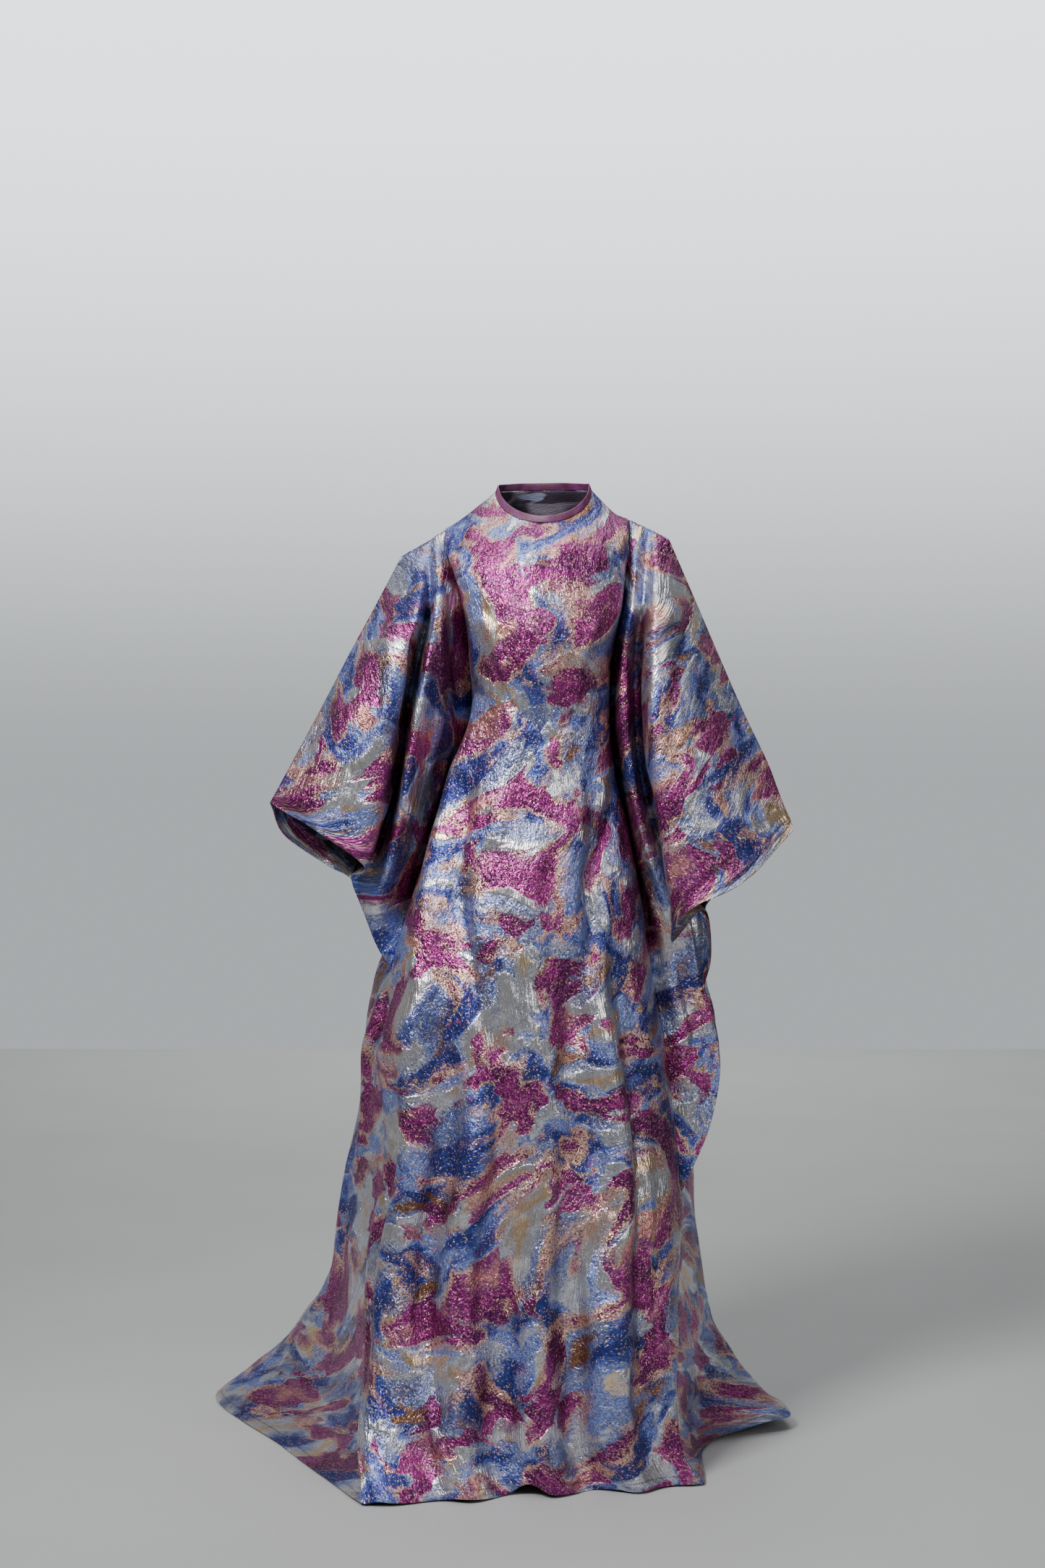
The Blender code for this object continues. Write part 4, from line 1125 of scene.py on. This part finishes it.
def brocade_colour(tree, looks, cloth, parts):
    """The marbling: its colour, red share, blue share, vein, shade and richness in gold grains."""
    # Patches 20 to 80 mm wide, longer along the slant, with edges pushed about at 220, 70 and
    # 18 mm
    laid = add_node(tree, "Mapping", {"Vector": cloth, "Rotation": (0.0, 0.0, PATTERN_SLANT),
                                      "Scale": (looks.patch_stretch, 1.0, 1.0)},
                    vector_type="TEXTURE")
    place = laid
    for scale, reach, detail in PATTERN_PUSHES:
        place = pushed(tree, place, scale, reach, detail)

    # Where the weave fades one colour into the next, it scatters their grains
    softness = add_node(tree, "TexNoise", {"Vector": laid, "Scale": SOFTNESS_SCALE, "Detail": 2.0},
                        noise_dimensions="2D")
    scatter = add_node(tree, "MapRange", (softness, *SCATTER_RANGE))
    offset = add_node(tree, "MapRange", (parts[2], 0.0, 1.0, -0.5, 0.5))
    stipple = add_node(tree, "Math", (offset, scatter), operation="MULTIPLY")
    patches = add_node(tree, "TexNoise", {"Vector": place, "Scale": 1.0 / looks.patch_width,
                                          "Detail": 2.0, "Roughness": 0.55},
                       "Color", noise_dimensions="2D")
    mixed = add_node(tree, "VectorMath", (patches, stipple), operation="ADD")
    family, shade, accent = (add_node(tree, "SeparateXYZ", (mixed,), axis) for axis in "XYZ")

    # The reds' brightest grains are painted pink, a painted glint on the magenta lurex
    reds = add_node(tree, "ValToRGB", (shade,), stops=(
        (0.43, looks.plum), (0.53, looks.magenta), (0.61, looks.mauve), (0.74, looks.rose_gold)))
    glint = add_node(tree, "MapRange", (parts[0], *PINK_GLINT_RANGE))
    reds = add_node(tree, "Mix", {0: glint, 6: reds, 7: looks.pink}, 2, data_type="RGBA")
    blues = add_node(tree, "ValToRGB", (shade,), stops=(
        (0.44, looks.cobalt), (0.50, looks.royal), (0.56, looks.periwinkle)))
    greys = add_node(tree, "ValToRGB", (shade,), stops=(
        (0.30, looks.brown_gold), (0.40, looks.periwinkle), (0.47, looks.steel),
        (0.54, looks.silver), (0.62, looks.silver), (0.70, looks.champagne)))
    is_red = add_node(tree, "MapRange", (family, *RED_RANGE))
    is_blue = add_node(tree, "MapRange", (accent, *BLUE_RANGE))
    is_blue = add_node(tree, "Math", (is_blue, is_red), operation="SUBTRACT", use_clamp=True)
    colour = add_node(tree, "Mix", {0: is_blue, 6: greys, 7: blues}, 2, data_type="RGBA")
    colour = add_node(tree, "Mix", {0: is_red, 6: colour, 7: reds}, 2, data_type="RGBA")

    # Veins: gold where the reds end, and a thread of magenta through the other colours
    reach = add_node(tree, "MapRange", (accent, *VEIN_RANGE))
    vein = add_node(tree, "Math", (family, VEIN_AT, reach), operation="COMPARE")
    narrow = add_node(tree, "Math", (reach, THREAD_SHARE), operation="MULTIPLY")
    thread = add_node(tree, "Math", (family, THREAD_AT, narrow), operation="COMPARE")
    gold = add_node(tree, "Mix", {0: parts[1], 6: looks.brown_gold, 7: looks.champagne}, 2,
                    data_type="RGBA")
    colour = add_node(tree, "Mix", {0: vein, 6: colour, 7: gold}, 2, data_type="RGBA")
    colour = add_node(tree, "Mix", {0: thread, 6: colour, 7: looks.magenta}, 2, data_type="RGBA")

    # Rose gold streaks lie where the reds end, thick with gold grains that thin out from there
    away = add_node(tree, "Math", (family, STREAK_AT), operation="SUBTRACT")
    away = add_node(tree, "Math", (away,), operation="ABSOLUTE")
    streak = add_node(tree, "MapRange", (away, *STREAK_RANGE))
    rich = add_node(tree, "MapRange", (softness, *RICH_RANGE))
    richness = add_node(tree, "Math", (streak, rich), operation="MULTIPLY")
    colour = add_node(tree, "Mix", {0: richness, 6: colour, 7: looks.rose_gold}, 2,
                      data_type="RGBA")
    return colour, is_red, is_blue, vein, shade, richness


def grain_colour(tree, looks, parts, colour, satin, richness):
    """The marbling's colour broken into grains: each has a brightness that is partly its own tone
    and partly painted glint, some are champagne, partly gold lurex and partly painted glint, and
    some are dark grains of painted shade.
    """
    # Each grain's brightness is partly its own tone and partly painted glint
    darkest, brightest = (add_node(tree, "MapRange", (satin, 0.0, 1.0, lurex, even))
                          for lurex, even in zip(GRAIN_TONES_AND_GLINT, SATIN_TONES_AND_GLINT))
    tone = add_node(tree, "MapRange", (parts[0], 0.0, 1.0, darkest, brightest))
    colour = add_node(tree, "HueSaturation", {"Value": tone, "Color": colour})

    # Champagne grains, partly gold lurex and partly painted glint, and dark grains of painted shade
    # lie all over, least in the silver
    spared = add_node(tree, "Math", (satin, -SATIN_SPARED, 1.0), operation="MULTIPLY_ADD")
    chance = add_node(tree, "Math", (parts[1], richness), operation="ADD")
    for grains, limits, shown in ((chance, GOLD_AND_GLINT_RANGE, looks.champagne),
                                  (parts[1], SHADED_GRAIN_RANGE, looks.shadow)):
        share = add_node(tree, "MapRange", (grains, *limits))
        share = add_node(tree, "Math", (share, spared), operation="MULTIPLY")
        colour = add_node(tree, "Mix", {0: share, 6: colour, 7: shown}, 2, data_type="RGBA")
    return colour


def hem_stitches(tree, looks):
    """Where the line of stitching runs along each turned hem, and how much of it is thread."""
    hem = add_node(tree, "UVMap", uv_map="hem")
    along, inwards = (add_node(tree, "SeparateXYZ", (hem,), axis) for axis in "XY")
    on_line = add_node(tree, "Math", (inwards, looks.hem_stitch, STITCH_HALF_WIDTH),
                       operation="COMPARE")
    gap = add_node(tree, "Math", (along, STITCH_HALF_LENGTH), operation="PINGPONG")
    stitch = add_node(tree, "MapRange", (gap, *STITCH_GAP))
    return on_line, add_node(tree, "Math", (stitch, on_line), operation="MULTIPLY")


def brocade_relief(tree, cloth, satin, on_line):
    """Crinkle of the shrunken wefts, wrinkles in the satin, a slow swell, and pulled stitches."""
    # The crinkle lies about 8 mm apart, the upright wrinkles 3 mm, and the swell 35 mm
    flat = add_node(tree, "Mapping", {"Vector": cloth, "Scale": (1.0, 0.55, 1.0)})
    upright = add_node(tree, "Mapping", {"Vector": cloth, "Scale": (1.0, 0.10, 1.0)})
    crinkle = add_node(tree, "TexNoise", {"Vector": pushed(tree, flat, *CRINKLE_PUSH),
                                          "Scale": CRINKLE_SCALE, "Detail": 3.0,
                                          "Roughness": 0.6}, noise_dimensions="2D")
    ridge = add_node(tree, "Math", (crinkle, 0.5), operation="SUBTRACT")
    ridge = add_node(tree, "Math", (ridge,), operation="ABSOLUTE")
    swell, wrinkle = (add_node(tree, "TexNoise", {"Vector": place, "Scale": scale, "Detail": 2.0},
                               noise_dimensions="2D")
                      for place, scale in ((flat, SWELL_SCALE), (upright, WRINKLE_SCALE)))
    sunk = add_node(tree, "MapRange", (satin, 0.0, 1.0, -CRINKLE_HEIGHT[0], -CRINKLE_HEIGHT[1]))
    raised = add_node(tree, "MapRange", (satin, 0.0, 1.0, *WRINKLE_HEIGHT))
    height = add_node(tree, "Math", (swell, SWELL_HEIGHT), operation="MULTIPLY")
    for pattern, rise in ((ridge, sunk), (wrinkle, raised), (on_line, -STITCH_DEPTH)):
        height = add_node(tree, "Math", (pattern, rise, height), operation="MULTIPLY_ADD")
    return add_node(tree, "Bump", {"Strength": 1.0, "Distance": 1.0, "Height": height})


def brocade_right_side(tree, looks):
    """Polyester jacquard with lame and lurex wefts: metallic grains on a ragged marbling."""
    cloth = add_node(tree, "UVMap", uv_map="cloth")
    # Lurex grains, really 0.4 mm: drawn at 1.6 mm, because finer ones don't show in the render
    cell = add_node(tree, "TexVoronoi", {"Vector": cloth, "Scale": 1.0 / looks.grain_size}, "Color",
                    voronoi_dimensions="2D")
    parts = [add_node(tree, "SeparateColor", (cell,), number) for number in range(3)]
    colour, is_red, is_blue, vein, shade, richness = brocade_colour(tree, looks, cloth, parts)

    # Smooth lame floats make the silver: neither red nor blue, and pale
    coloured = add_node(tree, "Math", (is_red, is_blue), operation="MAXIMUM")
    coloured = add_node(tree, "Math", (coloured, vein), operation="MAXIMUM")
    pale = add_node(tree, "MapRange", (shade, *PALE_RANGE))
    satin = add_node(tree, "Math", (pale, coloured), operation="SUBTRACT", use_clamp=True)
    colour = grain_colour(tree, looks, parts, colour, satin, richness)
    on_line, stitch = hem_stitches(tree, looks)
    colour = add_node(tree, "Mix", {0: stitch, 6: colour, 7: looks.thread}, 2, data_type="RGBA")

    # The blue ground is duller than the lurex, and the satin is the smoothest
    roughness = add_node(tree, "MapRange", (parts[1], 0.0, 1.0, *LUREX_ROUGHNESS))
    roughness = add_node(tree, "Mix", {0: is_blue, 2: roughness, 3: BLUE_ROUGHNESS},
                         data_type="FLOAT")
    roughness = add_node(tree, "Mix", {0: satin, 2: roughness, 3: SATIN_ROUGHNESS},
                         data_type="FLOAT")
    metallic = add_node(tree, "Mix", {0: is_blue, 2: LUREX_METAL, 3: BLUE_METAL},
                        data_type="FLOAT")

    # Each grain leans its own way, which makes it glint, and least in the satin
    bump = brocade_relief(tree, cloth, satin, on_line)
    lean = add_node(tree, "VectorMath", (cell, (0.5, 0.5, 0.5)), operation="SUBTRACT")
    tilt = add_node(tree, "MapRange", (satin, 0.0, 1.0, *GRAIN_LEAN))
    lean = add_node(tree, "VectorMath", {0: lean, "Scale": tilt}, operation="SCALE")
    normal = add_node(tree, "VectorMath", (bump, lean), operation="ADD")
    normal = add_node(tree, "VectorMath", (normal,), operation="NORMALIZE")
    return {"Base Color": colour, "Roughness": roughness, "Metallic": metallic, "Normal": normal}


def brocade_wrong_side(tree, looks):
    """The back of the jacquard: dull floats on a dark ground, with a few pale strips."""
    cloth = add_node(tree, "UVMap", uv_map="cloth")
    # Grey patches about 180 by 110 mm, and pale strips 25 mm apart and 100 mm long
    wide = add_node(tree, "Mapping", {"Vector": cloth, "Scale": (0.6, 1.0, 1.0)})
    place = pushed(tree, wide, 12.0, (0.06, 0.04, 0.0), 2.0)
    patch = add_node(tree, "TexNoise", {"Vector": place, "Scale": 9.0, "Detail": 3.0,
                                        "Roughness": 0.6}, noise_dimensions="2D")
    colour = add_node(tree, "ValToRGB", (patch,), stops=(
        (0.40, looks.wrong_side), (0.52, looks.wrong_side), (0.58, looks.float_grey),
        (0.66, looks.wrong_side)))
    long_way = add_node(tree, "Mapping", {"Vector": cloth, "Scale": (0.25, 1.0, 1.0)})
    strip = add_node(tree, "TexNoise", {"Vector": long_way, "Scale": 40.0}, noise_dimensions="2D")
    strip = add_node(tree, "MapRange", (strip, 0.62, 0.66))
    colour = add_node(tree, "Mix", {0: strip, 6: colour, 7: looks.steel}, 2, data_type="RGBA")
    # Floats, really 0.5 mm apart: drawn 1.5 mm apart to show
    floats = add_node(tree, "TexNoise", {"Vector": long_way, "Scale": 650.0, "Detail": 1.0},
                      noise_dimensions="2D")
    height = add_node(tree, "Math", (floats, 0.0006), operation="MULTIPLY")
    bump = add_node(tree, "Bump", {"Strength": 1.0, "Distance": 1.0, "Height": height})
    return {"Base Color": colour, "Roughness": 0.68, "Metallic": 0.15, "Normal": bump}


def satin_binding(tree, looks):
    """Woven polyester satin: a soft gloss with fine slanting ribs."""
    cloth = add_node(tree, "UVMap", uv_map="cloth")
    tone = add_node(tree, "TexNoise", {"Vector": cloth, "Scale": 60.0, "Detail": 3.0})
    colour = add_node(tree, "ValToRGB", (tone,), stops=((0.35, looks.binding), (0.65, looks.plum)))
    # Bias ribs, really 0.2 mm: drawn 1.7 mm apart to show
    ribs = add_node(tree, "TexWave", {"Vector": cloth, "Scale": 260.0, "Distortion": 0.6}, "Fac",
                    bands_direction="DIAGONAL")
    height = add_node(tree, "Math", (ribs, 0.00025), operation="MULTIPLY")
    bump = add_node(tree, "Bump", {"Strength": 1.0, "Distance": 1.0, "Height": height})
    return {"Base Color": colour, "Roughness": 0.42, "Metallic": 0.0, "Normal": bump}


def painted_floor(tree, stage):
    """Painted studio floor: an even matt coat with the faint mottling of a roller."""
    place = add_node(tree, "TexCoord", output="Object")
    mottle = add_node(tree, "TexNoise", {"Vector": place, "Scale": 2.0, "Detail": 3.0})
    colour = add_node(tree, "Mix", {0: mottle, 6: stage.floor_colour, 7: linear(HEX_FLOOR_LIGHT)},
                      2, data_type="RGBA")
    return {"Base Color": colour, "Roughness": 0.62}


def pale_room(stage):
    """A pale studio: an even wall to look at, and less light from the front than from behind."""
    room = bpy.data.worlds.new("pale_room")
    room.use_nodes = True
    tree = room.node_tree
    way = add_node(tree, "TexCoord", output="Generated")
    back, up = (add_node(tree, "SeparateXYZ", (way,), axis) for axis in "YZ")
    light = add_node(tree, "MapRange", (back, *ROOM_RANGE))
    wall = add_node(tree, "MapRange", (up, *WALL_RANGE), interpolation_type="SMOOTHSTEP")
    seen = add_node(tree, "LightPath", output="Is Camera Ray")
    strength = add_node(tree, "Mix", {0: seen, 2: light, 3: wall}, data_type="FLOAT")
    set_inputs(tree.nodes["Background"], {"Color": stage.room_colour, "Strength": strength})
    return room


def place_in_scene(name, data, place=(0.0, 0.0, 0.0), turn=(0.0, 0.0, 0.0)):
    """An object of that data, put in the scene."""
    thing = bpy.data.objects.new(name, data)
    thing.location = place
    thing.rotation_euler = turn
    bpy.context.scene.collection.objects.link(thing)
    return thing


def add_lamp(name, place, aim, size, power):
    """A soft square lamp that faces a point."""
    lamp = bpy.data.lights.new(name + "_lamp", "AREA")
    lamp.shape = "SQUARE"
    lamp.size = size
    lamp.spread = LAMP_SPREAD
    lamp.energy = power
    lamp.color = linear(HEX_LAMP)[:3]
    direction = mathutils.Vector(aim) - mathutils.Vector(place)
    place_in_scene(name + "_lamp", lamp, place, direction.to_track_quat("-Z", "Y").to_euler())


def add_camera():
    """A level camera at the photograph's place, with everything sharp."""
    camera = bpy.data.cameras.new("camera")
    camera.sensor_fit = "VERTICAL"
    camera.sensor_height = SENSOR_HEIGHT
    camera.lens = CAMERA_LENS
    camera.clip_end = FARTHEST_SEEN
    return place_in_scene("camera", camera, CAMERA_PLACE, (math.radians(90.0), 0.0, 0.0))


def length_property(name, description, default, smallest=0.0):
    """A length that a user may change, in metres."""
    return bpy.props.FloatProperty(name=name, description=description, default=default,
                                   min=smallest, unit="LENGTH", precision=4)


def number_property(name, description, default, largest, smallest=0.0):
    """A plain number that a user may change."""
    return bpy.props.FloatProperty(name=name, description=description, default=default,
                                   min=smallest, max=largest)


def power_property(name, description, default):
    """The power of a lamp that a user may change, in watts."""
    return bpy.props.FloatProperty(name=name, description=description, default=default,
                                   min=0.0, unit="POWER")


def colour_property(name, description, code):
    """A colour that a user may change."""
    return bpy.props.FloatVectorProperty(name=name, description=description, size=4,
                                         subtype="COLOR", min=0.0, max=1.0, default=linear(code))


class KaftanSizes(bpy.types.PropertyGroup):
    """Sizes of the cloth."""

    cloth_wall: length_property("Cloth", "Thickness of the brocade", 0.001, 0.0003)
    turned_hem: length_property("Turned hem", "Width of the hem turned to the inside", 0.030)
    crease_depth: number_property("Creases", "Depth of the soft creases", 1.0, 2.0)


class KaftanLooks(bpy.types.PropertyGroup):
    """Colours and pattern of the brocade and its binding."""

    patch_width: length_property("Patch", "Size of the marbled patches", 0.074, 0.02)
    patch_stretch: number_property("Stretch", "Patch length along the slant over width", 1.2,
                                   4.0, 0.5)
    grain_size: length_property("Grain", "Size of the lurex grains as drawn", 0.0016, 0.0005)
    hem_stitch: length_property("Stitching", "Stitching's distance from the hem", 0.013)
    plum: colour_property("Plum", "Darkest lurex", "#5E2A5C")
    magenta: colour_property("Magenta", "Middle red lurex", "#8A2F76")
    mauve: colour_property("Mauve", "Lurex between plum and rose gold", "#84497F")
    shadow: colour_property("Shadow", "Dark grains between the lurex", "#2A2038")
    # Pink is a painted glint on the magenta lurex
    pink: colour_property("Pink", "Brightest red lurex", "#D24FA6")
    cobalt: colour_property("Cobalt", "Darkest blue", "#293377")
    royal: colour_property("Royal", "Middle blue", "#4657A2")
    periwinkle: colour_property("Periwinkle", "Palest blue", "#7384BD")
    steel: colour_property("Steel", "Blue-grey lame", "#8F97B8")
    silver: colour_property("Silver", "Palest lame", "#CBCDD6")
    champagne: colour_property("Champagne", "Bright gold lurex", "#D8BC9C")
    rose_gold: colour_property("Rose gold", "Warm lurex", "#CC9488")
    brown_gold: colour_property("Brown gold", "Shade between gold grains", "#84604E")
    wrong_side: colour_property("Wrong side", "Ground of the wrong side", "#40364A")
    float_grey: colour_property("Floats", "Floats of the wrong side", "#8B8496")
    thread: colour_property("Thread", "Sewing thread", "#3C3550")
    binding: colour_property("Binding", "Neck binding", "#4A1A38")


class KaftanStage(bpy.types.PropertyGroup):
    """Floor, room and light."""

    floor_reach: length_property("Floor", "Half the floor's width", 5.0, 1.0)
    floor_colour: colour_property("Floor colour", "Painted floor", "#9A9EA1")
    room_colour: colour_property("Room colour", "Pale room round the stage", "#CBD0D4")
    key_power: power_property("Key", "Main lamp, from the left", 84.0)
    fill_power: power_property("Fill", "Side lamp, from the right", 13.0)
    top_power: power_property("Top", "Lamp overhead", 32.0)
    back_power: power_property("Back", "Lamp over the far floor", 150.0)
    even_light: number_property("Even light", "Strength of the light that evens out the floor",
                                0.40, 10.0)


class KAFTAN_OT_front(bpy.types.Operator):
    """Front panel, from the neck to the floor"""

    bl_idname = "kaftan.front"
    bl_label = "Front panel"

    def execute(self, context):
        cloth_panel("front", front_panel(), context.scene)
        return {"FINISHED"}


class KAFTAN_OT_back(bpy.types.Operator):
    """Back panel with its train"""

    bl_idname = "kaftan.back"
    bl_label = "Back panel"

    def execute(self, context):
        cloth_panel("back", back_panel(), context.scene)
        return {"FINISHED"}


class KAFTAN_OT_sleeves(bpy.types.Operator):
    """The four sleeve panels, front and back on each side"""

    bl_idname = "kaftan.sleeves"
    bl_label = "Sleeves"

    def execute(self, context):
        for side in SLEEVES:
            for facing, panel in zip(FACING, sleeve_pair(side)):
                cloth_panel(side + "_sleeve_" + facing, panel, context.scene)
        return {"FINISHED"}


class KAFTAN_OT_neck(bpy.types.Operator):
    """Plain binding round the neck"""

    bl_idname = "kaftan.neck"
    bl_label = "Neck binding"

    def execute(self, context):
        neck_band(context.scene.kaftan_looks)
        return {"FINISHED"}


class KAFTAN_OT_stage(bpy.types.Operator):
    """Pale floor, soft lamps, room light and camera"""

    bl_idname = "kaftan.stage"
    bl_label = "Stage"

    def execute(self, context):
        scene = context.scene
        stage = scene.kaftan_stage
        reach = stage.floor_reach
        level = -MOUNT_HEIGHT * MM
        mesh = bpy.data.meshes.new("floor")
        mesh.from_pydata([(-reach, -reach, level), (reach, -reach, level), (reach, reach, level),
                          (-reach, reach, level)], [], [(0, 1, 2, 3)])
        mesh.materials.append(material_of("painted_floor", painted_floor, stage))
        place_in_scene("floor", mesh)
        powers = (stage.key_power, stage.fill_power, stage.top_power, stage.back_power)
        for (name, place, aim, size), power in zip(LAMPS, powers):
            add_lamp(name, place, aim, size, power)
        even = bpy.data.lights.new("even_light", "SUN")
        even.energy = stage.even_light
        even.angle = EVEN_SPREAD
        place_in_scene("even_light", even, turn=EVEN_TILT)
        scene.world = pale_room(stage)
        scene.camera = add_camera()
        return {"FINISHED"}


OPERATORS = (KAFTAN_OT_front, KAFTAN_OT_back, KAFTAN_OT_sleeves, KAFTAN_OT_neck, KAFTAN_OT_stage)


class KAFTAN_PT_panel(bpy.types.Panel):
    """Lists the kaftan's pieces in the sidebar"""

    bl_idname = "KAFTAN_PT_panel"
    bl_label = "Kaftan"
    bl_space_type = "VIEW_3D"
    bl_region_type = "UI"
    bl_category = "Kaftan"

    def draw(self, context):
        layout = self.layout
        for operator in OPERATORS:
            layout.operator(operator.bl_idname)
        for group in (context.scene.kaftan_sizes, context.scene.kaftan_looks,
                      context.scene.kaftan_stage):
            column = layout.column()
            for key in group.bl_rna.properties.keys():
                if key not in ("rna_type", "name"):
                    column.prop(group, key)


CLASSES = (KaftanSizes, KaftanLooks, KaftanStage) + OPERATORS + (KAFTAN_PT_panel,)


def register():
    """Register the classes and hang the three groups on the scene."""
    for item in CLASSES:
        bpy.utils.register_class(item)
    bpy.types.Scene.kaftan_sizes = bpy.props.PointerProperty(type=KaftanSizes)
    bpy.types.Scene.kaftan_looks = bpy.props.PointerProperty(type=KaftanLooks)
    bpy.types.Scene.kaftan_stage = bpy.props.PointerProperty(type=KaftanStage)


def unregister():
    """Take off what register put on."""
    del bpy.types.Scene.kaftan_stage
    del bpy.types.Scene.kaftan_looks
    del bpy.types.Scene.kaftan_sizes
    for item in reversed(CLASSES):
        bpy.utils.unregister_class(item)


def main():
    register()
    bpy.ops.kaftan.front()
    bpy.ops.kaftan.back()
    bpy.ops.kaftan.sleeves()
    bpy.ops.kaftan.neck()
    bpy.ops.kaftan.stage()
    bpy.context.view_layer.update()


if __name__ == "__main__":
    main()
